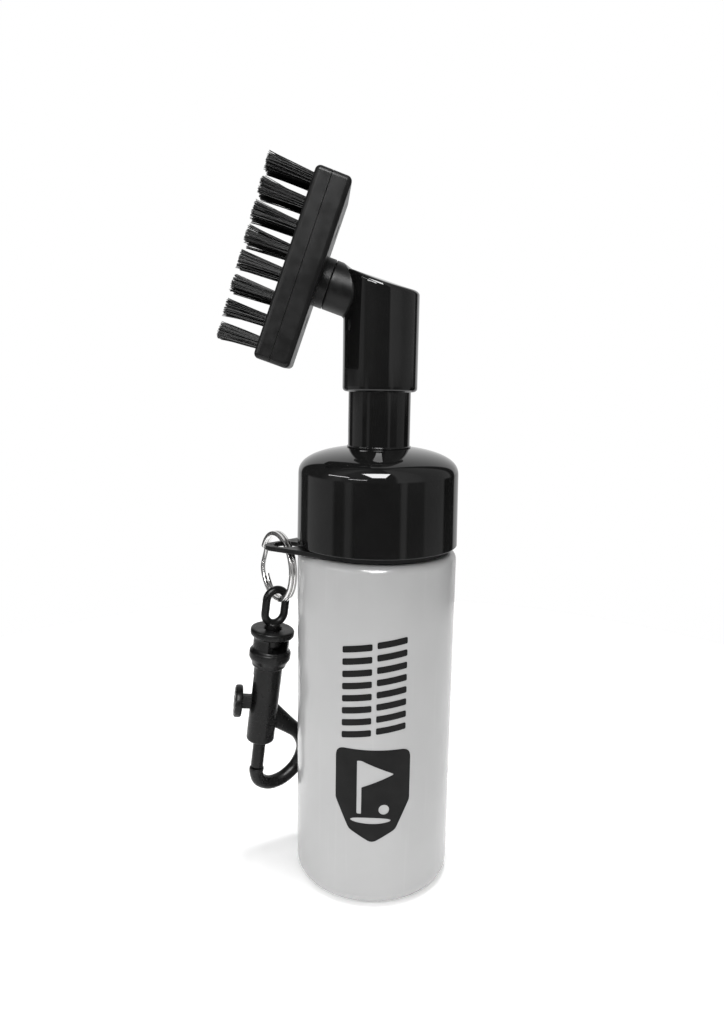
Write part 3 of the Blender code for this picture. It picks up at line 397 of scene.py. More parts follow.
def finished(name, shape, where, body, finish, slot, *stands_for, sharp=32):
    """The shape as a finished piece in metres, riding on its body."""
    shape.transform(Matrix.Scale(MM, 4) @ where)
    mesh = bpy.data.meshes.new(name)
    shape.to_mesh(mesh)
    shape.free()
    mesh.shade_smooth()
    mesh.set_sharp_from_angle(angle=math.radians(sharp))
    mesh.materials.append(finish)
    piece = bpy.data.objects.new(name, mesh)
    LOOKS.objects.link(piece)
    even = piece.modifiers.new("even", "WEIGHTED_NORMAL")
    even.keep_sharp = True
    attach(piece, body)
    if stands_for:
        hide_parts(*stands_for)
    return piece


# Materials


def node(tree, kind, inputs=None, **settings):
    """A shader node. An input can be a value or the socket that feeds it."""
    made = tree.nodes.new(kind)
    for name, value in settings.items():
        setattr(made, name, value)
    for key, value in (inputs or {}).items():
        if isinstance(value, bpy.types.NodeSocket):
            tree.links.new(value, made.inputs[key])
        else:
            made.inputs[key].default_value = value
    return made


def noise(tree, scale, detail=2.0, stretch=(1, 1, 1)):
    place = node(tree, "ShaderNodeTexCoord").outputs["Object"]
    place = node(tree, "ShaderNodeMapping", {"Vector": place, "Scale": stretch}).outputs[0]
    return node(tree, "ShaderNodeTexNoise", {"Vector": place, "Scale": scale, "Detail": detail}).outputs[0]


def ranged(tree, value, low, high, start=0.35, end=0.65):
    """Maps the value from start..end to low..high."""
    inputs = {"Value": value, "From Min": start, "From Max": end, "To Min": low, "To Max": high}
    return node(tree, "ShaderNodeMapRange", inputs).outputs[0]


def blended(tree, factor, a, b):
    mix = node(tree, "ShaderNodeMix", {0: factor, 6: a, 7: b}, data_type="RGBA")
    return mix.outputs[2]


def added(tree, a, b):
    return node(tree, "ShaderNodeMath", {0: a, 1: b}, operation="ADD").outputs[0]


def bumped(tree, height, depth, strength=1.0, under=None):
    inputs = {"Height": height, "Distance": depth * MM, "Strength": strength}
    if under:
        inputs["Normal"] = under
    return node(tree, "ShaderNodeBump", inputs).outputs[0]


def grey(value, warmth=0.0):
    return (value * (1 + warmth), value, value * (1 - warmth), 1)


def moulded(name, tones, gloss, drift, grain, depth, scratches=0.0, edges=0.0, warmth=0.0, ior=1.5):
    """A moulded plastic. Its tone and gloss drift, a grain covers it, hairlines cross it and its
    sharp edges are painted lighter, a painted highlight. Scales are per metre and depth is in millimetres."""
    made = bpy.data.materials.new(name)
    made.use_nodes = True
    tree = made.node_tree
    shader = tree.nodes["Principled BSDF"]
    shader.inputs["IOR"].default_value = ior
    clouds = noise(tree, drift, 3.0)
    colour = blended(tree, ranged(tree, clouds, 0, 1), grey(tones[0], warmth), grey(tones[1], warmth))
    rough = ranged(tree, noise(tree, drift * 4, 4.0), *gloss)
    if scratches:
        hairs = noise(tree, 900, 1.0, stretch=(1, 1, 0.03))
        marks = ranged(tree, hairs, 0, scratches, start=0.66, end=0.72)
        colour = blended(tree, marks, colour, grey(tones[1] + 0.25))
        rough = added(tree, rough, marks)
    if edges:
        # Painted highlight: the colour is lightened on sharp edges, where the light would catch them
        sharpness = node(tree, "ShaderNodeNewGeometry").outputs["Pointiness"]
        edge_highlight = ranged(tree, sharpness, 0, edges, start=0.52, end=0.6)
        colour = blended(tree, edge_highlight, colour, grey(tones[1] * 2 + 0.02))
    relief = bumped(tree, noise(tree, grain, 2.0), depth)
    tree.links.new(colour, shader.inputs["Base Color"])
    tree.links.new(rough, shader.inputs["Roughness"])
    tree.links.new(relief, shader.inputs["Normal"])
    return made


def metal(name, tone, gloss, grain, stretch=(1, 1, 1)):
    """Bright plated steel with fine drawn lines and slightly cloudy gloss."""
    made = bpy.data.materials.new(name)
    made.use_nodes = True
    tree = made.node_tree
    shader = tree.nodes["Principled BSDF"]
    shader.inputs["Metallic"].default_value = 1.0
    clouds = noise(tree, 250, 3.0)
    lines = noise(tree, grain, 2.0, stretch)
    colour = blended(tree, ranged(tree, clouds, 0, 1), grey(tone * 0.86, 0.01), grey(tone, 0.01))
    tree.links.new(colour, shader.inputs["Base Color"])
    tree.links.new(ranged(tree, lines, *gloss), shader.inputs["Roughness"])
    tree.links.new(bumped(tree, lines, 0.01), shader.inputs["Normal"])
    return made


LOOKS = bpy.data.collections.new("club_groove_brush")
bpy.context.scene.collection.children.link(LOOKS)

WHITE = moulded("white_polyethylene", (0.42, 0.443), (0.16, 0.24), 45, 500, 0.003, 0.03)
INK = moulded("black_ink", (0.006, 0.009), (0.34, 0.46), 200, 2500, 0.006, ior=1.22)
GLOSS = moulded("black_gloss", (0.005, 0.008), (0.012, 0.04), 60, 160, 0.005)
DRAWN = moulded("black_gloss_tower", (0.005, 0.009), (0.03, 0.08), 90, 420, 0.006)
SATIN = moulded("black_satin", (0.005, 0.008), (0.30, 0.42), 80, 3200, 0.004, 0.02, 0.3, ior=1.32)
CLIP_SATIN = moulded("black_acetal", (0.004, 0.007), (0.24, 0.38), 120, 2600, 0.004, 0.02, 0.3, ior=1.3)
NYLON = moulded("black_nylon", (0.004, 0.009), (0.28, 0.45), 1500, 6000, 0.002, ior=1.25)
RUBBER = moulded("black_rubber", (0.025, 0.035), (0.6, 0.8), 150, 2000, 0.02)
NATURAL = moulded("natural_polypropylene", (0.66, 0.72), (0.3, 0.42), 70, 900, 0.01, warmth=0.02)
STEEL = metal("nickel_plated_steel", 0.78, (0.10, 0.26), 2500)
SPRING_STEEL = metal("spring_steel", 0.62, (0.2, 0.36), 3000)


# Bottle


def coil_ridge(radius, z, turns):
    """A thread ridge whose ends run out. It points outwards on the neck and inwards in the cap."""
    root, crest, run_out, start = 0.8, 0.25, 8, 0.15
    path = helix(radius, z, THREAD_PITCH, turns)
    fade = [min(1.0, start + min(i, len(path) - 1 - i) / run_out) for i in range(len(path))]
    out = -THREAD_RIDGE if radius > NECK_R else THREAD_RIDGE
    section = softened([(-out, root), (out, crest), (out, -crest), (-out, -root)], 0.2, True)
    return swept(path, section, scales=[(f, f) for f in fade])


def make_bottle():
    inner_r = BOTTLE_R - BOTTLE_WALL
    inner_round = BASE_ROUND - BOTTLE_WALL
    inner_slope, wall_top, wall_step, wall_rows = 4.5, 6, 8, 10
    foot_r, dimple_r, dimple_slope, dimple_z = 15.2, 11.0, 1.5, 0.7
    profile = [(0, FLOOR_Z)]
    profile += arc(inner_r - inner_round, FLOOR_Z + inner_round, inner_round, -90, 0, 8)
    profile += [(inner_r, SHOULDER_Z - inner_slope), (NECK_BORE, SHOULDER_Z)]
    profile += [(NECK_BORE, NECK_TOP), (NECK_R, NECK_TOP)]
    profile = softened(profile, 0.6)[:-1] + [(NECK_R, NECK_TOP), (NECK_R, SHOULDER_Z)]
    profile += arc(BOTTLE_R - SHOULDER_ROUND, SHOULDER_Z - SHOULDER_ROUND, SHOULDER_ROUND, 90, 0, 10)
    profile += [(BOTTLE_R, SHOULDER_Z - wall_top - wall_step * k) for k in range(wall_rows)]
    profile += arc(BOTTLE_R - BASE_ROUND, BASE_ROUND, BASE_ROUND, 0, -90, 12)
    dimple = [(foot_r, 0), (dimple_r, 0), (dimple_r - dimple_slope, dimple_z), (0, dimple_z)]
    profile += softened(dimple, 0.8)
    shape = joined(turned(profile), coil_ridge(MALE_R, MALE_Z, MALE_TURNS))
    finished("bottle_shell", shape, UPRIGHT, "bottle", WHITE, "bottle_plastic", "bottle")


def groove_loops():
    """Two columns of slanted bars, like the grooves of two club faces."""
    loops = []
    for side in (-1, 1):
        middle, half = side * (GROOVES_WIDE + GROOVES_GAP) / 2, GROOVES_WIDE / 2
        for k in range(GROOVES):
            z = GROOVES_LOW + (k + 0.5 * (side > 0)) * GROOVE_PITCH
            corners = [(middle - half, z), (middle + half, z + GROOVE_SLANT)]
            corners += [(x, z + GROOVE_TALL) for x, z in reversed(corners)]
            loops.append(softened(corners, 0.4, True))
    return loops


def badge_loops():
    """A shield with a flag, a ball and a green left open in it."""
    half, tall = BADGE_WIDE / 2, BADGE_HIGH - BADGE_LOW
    shield = [(-half, 0), (-half, -0.55 * tall), (-0.62 * half, -0.86 * tall), (0, -tall)]
    shield += [(-x, z) for x, z in reversed(shield[:-1])]
    flag = [(-4.0, -17.5), (-2.8, -17.5), (-2.8, -10.2), (5.6, -6.6), (-2.8, -3.0), (-4.0, -3.0)]
    loops = [softened(shield, 2.5, True, 8), softened(flag, 0.3, True)]
    loops += [oval(-0.4, -19.3, 5.2, 0.85), oval(3.0, -16.2, 1.35, 1.35, 32)]
    return [[(x, z + BADGE_HIGH) for x, z in loop] for loop in loops]


def make_print():
    """The artwork is drawn flat, cut into narrow strips and wrapped on the bottle."""
    ink_low, ink_high, strips_per_mm = 0.01, 0.05, 4
    shape = outlined(groove_loops() + badge_loops(), ink_low, ink_high)
    half = BADGE_WIDE / 2 + OVER
    strips = round(half * strips_per_mm)
    for k in range(-strips, strips + 1):
        geometry = shape.verts[:] + shape.edges[:] + shape.faces[:]
        bmesh.ops.bisect_plane(shape, geom=geometry, plane_co=(k * half / strips, 0, 0), plane_no=(1, 0, 0))
    for vert in shape.verts:
        u, z, lift = vert.co
        angle = PRINT_AZIMUTH + u / BOTTLE_R
        vert.co = heading(angle) * (BOTTLE_R + lift) + UP * z
    finished("bottle_print", shape, UPRIGHT, "bottle", INK, "bottle_plastic")


# Cap


def dome():
    """The cap's rounded shoulder and shallow top, from the side up to the tower's hole."""
    steps, crowding = 40, 1.2  # the points crowd towards the side
    top = math.acos(((CAP_HOLE - CAP_TOP_R + DOME_RUN) / DOME_RUN) ** (DOME_POWER / 2))
    points = []
    for i in range(steps + 1):
        angle = top * (i / steps) ** crowding
        r = CAP_TOP_R - DOME_RUN + DOME_RUN * math.cos(angle) ** (2 / DOME_POWER)
        crown = DOME_CROWN * (1 - (r / CAP_TOP_R) ** 2)
        points.append((r, DOME_Z + DOME_RISE * math.sin(angle) ** (2 / DOME_POWER) + crown))
    return points


def make_cap():
    hollow = [
        (CAP_R, CAP_BOTTOM), (CAP_SHELL_BORE, CAP_BOTTOM), (CAP_SHELL_BORE, CAP_CAVITY_TOP),
        (SKIRT_R, CAP_CAVITY_TOP), (SKIRT_R, CAP_BOTTOM), (SKIRT_BORE, CAP_BOTTOM),
        (SKIRT_BORE, CAP_CEILING), (CAP_HOLE, CAP_CEILING),
    ]
    rows = 8
    lean, drop = (CAP_R - CAP_TOP_R) / rows, (DOME_Z - CAP_BOTTOM) / rows
    sides = [(CAP_TOP_R + lean * k, DOME_Z - drop * k) for k in range(1, rows)]
    profile = list(reversed(dome())) + sides + softened([sides[-1]] + hollow, 0.18)[1:]
    ridge = coil_ridge(FEMALE_R, MALE_Z - THREAD_PITCH / 2, FEMALE_TURNS)
    finished("cap_shell", joined(turned(profile), ridge), UPRIGHT, "cap", GLOSS, "cap_plastic", "cap")


# Lanyard ring, split ring and clip


def make_lanyard_ring():
    touch = math.degrees(math.acos((LANYARD_R - TAB_TIP_R) / TAB_TIP_AT))
    outer = arc(0, 0, LANYARD_R, touch, 360 - touch, 90)
    outer += arc(TAB_TIP_AT, 0, TAB_TIP_R, -touch, touch, 24)
    hole = oval(TAB_HOLE_AT, 0, TAB_HOLE_R, TAB_HOLE_R, 40)
    bore = oval(0, 0, LANYARD_BORE, LANYARD_BORE, 96)
    shape = outlined([outer, bore, hole], LANYARD_LOW, LANYARD_HIGH, 0.2)
    turn = Matrix.Rotation(TAB_AZIMUTH, 4, "Z")
    finished("lanyard", shape, turn, "lanyard", SATIN, "lanyard_plastic", "lanyard_ring")


def make_split_ring():
    """Two flat turns of strand that lie together. The strand steps across at the jog."""
    end_gap = math.radians(6)
    trim = JOG + end_gap
    start, end, count = trim, 4 * math.pi - trim, 240
    path = []
    for i in range(count + 1):
        angle = start + (end - start) * i / count
        across = math.sin(max(-1.0, min(1.0, (angle - 2 * math.pi) / JOG)) * math.pi / 2)
        path.append(Vector((RING_R * math.cos(angle), RING_R * math.sin(angle), across * COIL_STEP / 2)))
    deep, wide = STRAND_DEEP / 2, STRAND_WIDE / 2
    section = softened([(deep, wide), (-deep, wide), (-deep, -wide), (deep, -wide)], 0.3, True)
    finished("split_ring_coils", swept(path, section), RING, "ring", STEEL, "steel", "split_ring")


def make_eye():
    loop = arc(0, EYE_HIGH - EYE_BEND, EYE_BEND, 0, 180, 24)
    loop += arc(0, EYE_LOW + EYE_BEND, EYE_BEND, 180, 360, 24)
    loop = wire([Vector((x, 0, z)) for x, z in loop], EYE_WIRE, 20, up=Vector((0, 1, 0)), closed=True)
    stem = [(0, EYE_LOW + EYE_WIRE / 2), (EYE_STEM_R, EYE_LOW), (EYE_STEM_R, EYE_HEAD_HIGH)]
    stem += [(EYE_HEAD_R, EYE_HEAD_HIGH), (EYE_HEAD_R, EYE_HEAD_LOW), (0, EYE_HEAD_LOW)]
    shape = joined(loop, turned(softened(stem, 0.3), SMALL_ROUND))
    shape = melted(shape, voxel=0.16, rounds=6)
    finished("swivel_loop", shape, EYE, "eye", CLIP_SATIN, "clip_plastic", "swivel_eye")


def hook_wire():
    """The hook's wire. It starts as a deep web on the barrel and ends in the bolt's seat."""
    route = [
        (2.2, -25.6), (7.6, -29.6), (12.2, -33.4), (14.5, -38.2), (13.2, -43.4),
        (9.4, -46.9), (5.0, -47.9), (1.5, -46.4), (0.1, -43.9), (0, HOOK_TIP_Z),
    ]
    steps, deeper, fall, wider, blend = 8, 0.75, 1.5, 0.08, 3
    path = smooth_path([(x, 0, z) for x, z in route], steps)
    web, seat = 2.2 * steps, len(path) - steps
    scales = []
    for i in range(len(path)):
        deep = 1 + deeper * max(0.0, 1 - i / web) ** fall
        cup = 1 + wider * max(0, min(1, (i - seat) / blend))
        scales.append((deep * cup, cup))
    return wire(path, HOOK_WIRE, 28, up=Vector((0, 1, 0)), scales=scales)


def make_snap_hook():
    body = [
        (0, 0), (DISC_R, 0), (DISC_R, -1.9), (CAGE_R, -2.3), (CAGE_R, -6.0), (COLLAR_R, -6.4),
        (COLLAR_R, -8.3), (WAIST_R, -10.0), (WAIST_R, -10.8), (BARREL_R, -11.0), (BARREL_R, BARREL_LOW),
        (0, BARREL_LOW),
    ]
    shape = joined(turned(softened(body, 0.7), 96), hook_wire())
    shape = melted(shape, voxel=0.2, rounds=5)
    cage = [
        (0, OVER), (DISC_HOLE + 0.4, OVER), (DISC_HOLE + 0.4, 0.1), (DISC_HOLE, -0.3),
        (DISC_HOLE, CAGE_HIGH), (CAGE_HOLLOW, CAGE_HIGH), (CAGE_HOLLOW, CAGE_LOW), (0, CAGE_LOW),
    ]
    half = WINDOW_WIDE / 2
    windows = rounded_block((-half, -DISC_R - OVER, CAGE_LOW), (half, DISC_R + OVER, CAGE_HIGH), 0.4, 3)
    bore = cylinder(BOLT_BORE, BARREL_LOW - OVER, BOLT_BORE_TOP)
    half = SLOT_WIDE / 2
    slot = rounded_block((0, -half, SLOT_LOW), (BARREL_R + OVER, half, SLOT_HIGH), 1.0, 6)
    slot = moved(slot, Matrix.Rotation(KNOB_TURN, 4, "Z"))
    shape = cut(shape, turned(cage, SMALL_ROUND), windows, bore, slot)
    finished("snap_hook", shape, CLIP, "clip", CLIP_SATIN, "clip_plastic", "snap_hook_body")


def make_bolt():
    """The bolt, and the thumb knob whose pin sits in it. Grooves across the knob leave ribs."""
    pin_hole, hole_reach, pin_r, pin_end, overlap = 0.9, 3, 0.6, -1.0, 0.5
    groove_r, groove_pitch, groove_rise = 0.42, 1.55, 0.12
    hole = moved(cylinder(pin_hole, -hole_reach, hole_reach), CLIP.inverted() @ KNOB)
    shape = cut(cylinder(BOLT_R, BOLT_LOW, BOLT_HIGH, edge=0.35), hole)
    finished("sliding_bolt", shape, CLIP, "bolt", CLIP_SATIN, "clip_plastic", "latch_bolt")
    tall, wide, foot = KNOB_STEM_TALL / 2, KNOB_STEM_WIDE / 2, BOLT_R + 0.3
    knob = cylinder(KNOB_R, KNOB_BACK, KNOB_FACE, edge=0.8)
    knob = joined(knob, rounded_block((-tall, -wide, foot), (tall, wide, KNOB_BACK + overlap), 0.4, 4))
    knob = joined(knob, cylinder(pin_r, pin_end, foot + overlap))
    grooves = []
    for k in range(-2, 3):
        groove = cylinder(groove_r, -KNOB_R - OVER, KNOB_R + OVER, steps=24)
        place = Matrix.Translation((k * groove_pitch, 0, KNOB_FACE + groove_rise))
        grooves.append(moved(groove, place @ Matrix.Rotation(math.pi / 2, 4, "X")))
    knob = cut(knob, *grooves)
    finished("thumb_knob_ribbed", knob, KNOB, "bolt", CLIP_SATIN, "clip_plastic", "thumb_knob")


def spring_coil(radius, thickness, turns, low, high):
    """A compression spring whose end turns are closed, with a gap at each end."""
    gap, closed_pitch = 0.3, 0.35
    tall = high - low - 2 * gap - 2 * thickness

    def pitch(share):
        return 1.0 if 0.1 < share < 0.9 else closed_pitch

    path = helix(radius, 0, pitch, turns, 36)
    rise = tall / path[-1].z
    path = [Vector((p.x, p.y, low + gap + thickness + p.z * rise)) for p in path]
    return wire(path, thickness, 12)


def make_springs():
    """Both springs stand 0.3 mm clear of what they push, at each end."""
    shape = spring_coil(LATCH_COIL_R, LATCH_WIRE, LATCH_TURNS, BOLT_HIGH, BOLT_BORE_TOP)
    coil = finished("latch_coil", shape, CLIP, "clip", SPRING_STEEL, "steel", "latch_spring")
    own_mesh(coil)
    shape = spring_coil(RETURN_COIL_R, RETURN_WIRE, RETURN_TURNS, WEB_HIGH, ELBOW_CEILING)
    coil = finished("return_coil", shape, UPRIGHT, "cap", SPRING_STEEL, "steel", "return_spring")
    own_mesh(coil)


# Pump tower and elbow


def make_tower():
    profile = [
        (TOWER_R, TOWER_TOP), (TOWER_R, TOWER_FOOT_HIGH), (TOWER_FOOT_R, TOWER_FOOT_HIGH),
        (TOWER_FOOT_R, TOWER_FOOT_LOW), (SPIGOT_R, TOWER_FOOT_LOW), (SPIGOT_R, TOWER_LOW),
        (SPIGOT_BORE, TOWER_LOW), (SPIGOT_BORE, WEB_LOW), (WEB_BORE, WEB_LOW),
        (WEB_BORE, WEB_HIGH), (TOWER_BORE, WEB_HIGH), (TOWER_BORE, TOWER_TOP),
    ]
    half, top = KEYWAY_WIDE / 2, TOWER_TOP + OVER
    left = block((-TOWER_R - OVER, -half, KEYWAY_LOW), (-KEYWAY_R, half, top))
    right = block((KEYWAY_R, -half, KEYWAY_LOW), (TOWER_R + OVER, half, top))
    shape = cut(turned(softened(profile, 0.15, True), 96), left, right)
    finished("tower", shape, UPRIGHT, "cap", DRAWN, "cap_plastic", "pump_tower")


def neck_foot(phi, radius):
    """How far along the neck the sleeve's surface is, at this angle and radius round the neck."""
    u, v = radius * math.cos(phi), radius * math.sin(phi)
    return (math.sqrt(ELBOW_R**2 - v * v) + u * math.sin(NECK_RISE)) / math.cos(NECK_RISE)


def neck():
    """The neck and its spout, with a fillet where it leaves the sleeve that fades over its top."""
    spout = [
        (NECK_TUBE_R, NECK_END), (SPOUT_R, NECK_END), (SPOUT_R, GROOVE_LOW), (GROOVE_R, GROOVE_LOW),
        (GROOVE_R, GROOVE_HIGH), (SPOUT_R, GROOVE_HIGH), (SPOUT_R, SNAP_LOW), (SNAP_R, SNAP_LOW),
        (SNAP_R, SNAP_HIGH), (SPOUT_R - 0.4, SPOUT_END), (0, SPOUT_END),
    ]
    spout = softened([(NECK_TUBE_R, NECK_END - 1)] + spout, 0.25)
    steps, turns = 6, 96
    growth, bare = 1.4, 0.2  # the fillet is absent on the neck's top and grows towards its underside
    skipped, sunk, root_at = 0.14, 0.03, 1.0  # the fillet's thin foot is left out, the rest sunk a little
    shape = bmesh.new()
    rings = []
    for k in range(turns):
        phi = 2 * math.pi * k / turns
        fillet = NECK_FILLET * min(1.0, max(0.0, (1 - math.cos(phi)) * growth - bare))
        column = [(NECK_TUBE_R * 0.5, root_at)]
        for i in range(steps + 1):
            angle = math.pi / 2 * (skipped + (1 - skipped) * i / steps)
            r = NECK_TUBE_R + fillet * (1 - math.sin(angle))
            column.append((r, neck_foot(phi, r) + fillet * (1 - math.cos(angle)) - sunk))
        rings.append([(r * math.cos(phi), r * math.sin(phi), s) for r, s in column + spout])
    verts = [[shape.verts.new(p) for p in ring[:-1]] for ring in rings]
    root, tip = shape.verts.new((0, 0, root_at)), shape.verts.new((0, 0, SPOUT_END))
    for k in range(turns):
        a, b = verts[k], verts[(k + 1) % turns]
        for i in range(len(a) - 1):
            shape.faces.new((a[i], a[i + 1], b[i + 1], b[i]))
        shape.faces.new((root, a[0], b[0]))
        shape.faces.new((a[-1], tip, b[-1]))
    bmesh.ops.recalc_face_normals(shape, faces=shape.faces)
    return shape


def make_elbow():
    lip, rim, row, entry, passage_start = 1.0, 0.9, 1.2, 0.4, 0.3
    top = (ELBOW_TOP_BACK.z + ELBOW_TOP_FRONT.z) / 2
    outer = [(0, top), (ELBOW_R / 2, top)] + arc(ELBOW_R - rim, top - rim, rim, 90, 0, 6)
    outer += [(ELBOW_R, top - rim - row * k) for k in range(1, 22)]
    outer += arc(ELBOW_R - lip, ELBOW_LOW + lip, lip, 0, -90, 8) + [(0, ELBOW_LOW)]
    sleeve = turned(outer)
    slant = (ELBOW_TOP_BACK.z - ELBOW_TOP_FRONT.z) / (2 * ELBOW_R)
    crown = 0.016  # how fast the top falls away to its sides, per millimetre
    for vert in sleeve.verts:
        share = max(0.0, (vert.co.z - KEY_HIGH) / (top - KEY_HIGH))
        vert.co.z += (vert.co.x * slant - crown * vert.co.y**2) * share
    shape = joined(sleeve, moved(neck(), HEAD))
    inside = [
        (0, BALL_CEILING), (BALL_BORE, BALL_CEILING), (BALL_BORE, BALL_FLOOR),
        (ROD_SOCKET, BALL_FLOOR), (ROD_SOCKET, BOSS_LOW), (BOSS_R, BOSS_LOW), (BOSS_R, ELBOW_CEILING),
        (ELBOW_BORE, ELBOW_CEILING), (ELBOW_BORE, ELBOW_LOW + entry), (ELBOW_BORE + entry, ELBOW_LOW),
        (ELBOW_BORE + entry, ELBOW_LOW - OVER), (0, ELBOW_LOW - OVER),
    ]
    passage = moved(cylinder(PASSAGE_R, passage_start, SPOUT_END + OVER), HEAD)
    shape = cut(shape, turned(inside, 96), passage)
    half, root, key_round = KEY_WIDE / 2, ELBOW_BORE + 0.6, 0.15
    left = rounded_block((-root, -half, KEY_LOW), (-KEY_R, half, KEY_HIGH), key_round, 2)
    right = rounded_block((KEY_R, -half, KEY_LOW), (root, half, KEY_HIGH), key_round, 2)
    shape = joined(shape, left, right)
    elbow = finished("press_elbow", shape, UPRIGHT, "press_head", GLOSS, "head_plastic", "elbow")
    elbow.data.materials.append(SATIN)
    sleeve_limit = (ELBOW_R + 0.05) * MM  # the neck, outside this, is satin
    for face in elbow.data.polygons:
        if math.hypot(face.center.x, face.center.y) > sleeve_limit:
            face.material_index = 1


# Brush head


def row_places():
    return [ROWS_MIDDLE + (row - (ROWS - 1) / 2) * ROW_PITCH for row in range(ROWS)]


def tuft_places(x):
    """Where the tufts of the row at x stand. The rows beside the nozzle have none in the middle."""
    places = [(tuft - (TUFTS - 1) / 2) * TUFT_PITCH for tuft in range(TUFTS)]
    return [y for y in places if y or abs(x - ROWS_MIDDLE) > ROW_PITCH]


def screw_places():
    return [(ROWS_MIDDLE - SCREW_AT, 0), (ROWS_MIDDLE + SCREW_AT, 0)]


def half_head(back, face, parting):
    """One half of the head. The edges at the parting are only just broken, the others are round."""
    x, y = HEAD_LONG / 2, HEAD_WIDE / 2
    broken, corner = 0.1, math.radians(50)
    shape = rounded_block((-x, -y, back), (x, y, face), HEAD_ROUND, 8, keep=parting)
    rim = []
    for edge in shape.edges:
        flat = all(abs(v.co.z - parting) < 0.01 for v in edge.verts)
        if flat and edge.calc_face_angle(0) > corner:
            rim.append(edge)
    bmesh.ops.bevel(shape, geom=rim, offset=broken, segments=2, profile=0.5, affect="EDGES")
    return shape


def make_back_cover():
    tube_end, chamfer = HEAD_BACK + 0.6, 0.3
    tube = [
        (COLLAR_BORE, COLLAR_START), (COLLAR_TUBE_R, COLLAR_START), (COLLAR_TUBE_R, tube_end),
        (COLLAR_BORE, tube_end),
    ]
    shape = joined(half_head(HEAD_BACK, COVER_FACE, COVER_FACE), turned(softened(tube, 0.2, True)))
    x, y, inside = HEAD_LONG / 2 - HEAD_WALL, HEAD_WIDE / 2 - HEAD_WALL, HEAD_BACK + HEAD_WALL
    tools = [block((-x, -y, inside), (x, y, COVER_FACE + OVER))]
    tools.append(cylinder(COLLAR_BORE, COLLAR_START - OVER, inside + OVER))
    for at in screw_places():
        pocket = [
            (0, HEAD_BACK - OVER), (SCREW_POCKET + chamfer, HEAD_BACK - OVER),
            (SCREW_POCKET + chamfer, HEAD_BACK), (SCREW_POCKET, HEAD_BACK + chamfer),
            (SCREW_POCKET, SCREW_POCKET_FLOOR),
            (SCREW_HOLE, SCREW_POCKET_FLOOR), (SCREW_HOLE, inside + OVER), (0, inside + OVER),
        ]
        tools.append(moved(turned(pocket, 48), Matrix.Translation((*at, 0))))
    shape = cut(shape, *tools)
    finished("head_back", shape, HEAD, "brush_head", SATIN, "brush_plastic", "brush_back_cover")


def make_bristle_plate():
    overlap, chamfer = 0.5, 0.25
    shape = half_head(PLATE_BACK, HEAD_FACE, PLATE_BACK)
    screws = screw_places()
    shape = joined(shape, *[cylinder(POST_R, POST_TOP, PLATE_BACK + overlap, at) for at in screws])
    half, long, low = CHANNEL_WIDE / 2, CHANNEL_LONG / 2, PLATE_BACK - OVER
    tools = [block((x - half, -long, low), (x + half, long, CHANNEL_FLOOR)) for x in row_places()]
    hole = [
        (0, HEAD_FACE + OVER), (TUFT_HOLE + chamfer, HEAD_FACE + OVER), (TUFT_HOLE + chamfer, HEAD_FACE),
        (TUFT_HOLE, HEAD_FACE - chamfer), (TUFT_HOLE, CHANNEL_FLOOR - overlap),
        (0, CHANNEL_FLOOR - overlap),
    ]
    for x in row_places():
        tools += [moved(turned(hole, 32), Matrix.Translation((x, y, 0))) for y in tuft_places(x)]
    tools += [cylinder(SCREW_HOLE, POST_TOP - OVER, POST_HOLE_END, at, steps=32) for at in screws]
    middle = (ROWS_MIDDLE, 0)
    tools.append(cylinder(NOZZLE_POCKET, NOZZLE_POCKET_FLOOR, HEAD_FACE + OVER, middle))
    feed_end = NOZZLE_POCKET_FLOOR + overlap
    tools.append(cylinder(NOZZLE_FEED, PLATE_BACK - OVER, feed_end, middle, steps=32))
    shape = cut(shape, *tools)
    finished("head_front", shape, HEAD, "brush_head", SATIN, "brush_plastic", "bristle_plate")


def make_nozzle():
    flare = 0.5
    profile = [
        (NOZZLE_R, NOZZLE_FACE), (NOZZLE_R, NOZZLE_BACK), (NOZZLE_BORE, NOZZLE_BACK),
        (NOZZLE_BORE, NOZZLE_FACE - flare), (NOZZLE_BORE + flare, NOZZLE_FACE),
    ]
    shape = turned(softened(profile, 0.15, True), SMALL_ROUND)
    place = HEAD @ Matrix.Translation((ROWS_MIDDLE, 0, 0))
    finished("nozzle", shape, place, "brush_head", STEEL, "steel", "spray_nozzle")


def make_screw(name, at, stands_for):
    """A small cross-recessed screw, sunk in the back of the head."""
    top, point, dish, recess = HEAD_BACK + 0.1, 0.8, 0.2, 0.5
    under = top + SCREW_HEAD_THICK
    profile = [(0, SCREW_END), (SCREW_R * 0.3, SCREW_END), (SCREW_R, SCREW_END - point)]
    profile += [(SCREW_R, under), (SCREW_HEAD_R, under), (SCREW_HEAD_R, top + dish)]
    profile += [(SCREW_HEAD_R * 0.6, top), (0, top)]
    shape = turned(softened(profile, 0.12), 48)
    long, half = SCREW_HEAD_R * 0.62, 0.17
    arms = [block((-a, -b, top - OVER), (a, b, top + recess)) for a, b in ((long, half), (half, long))]
    place = HEAD @ Matrix.Translation((*at, 0))
    finished(name, cut(shape, *arms), place, "brush_head", STEEL, "steel", stands_for)


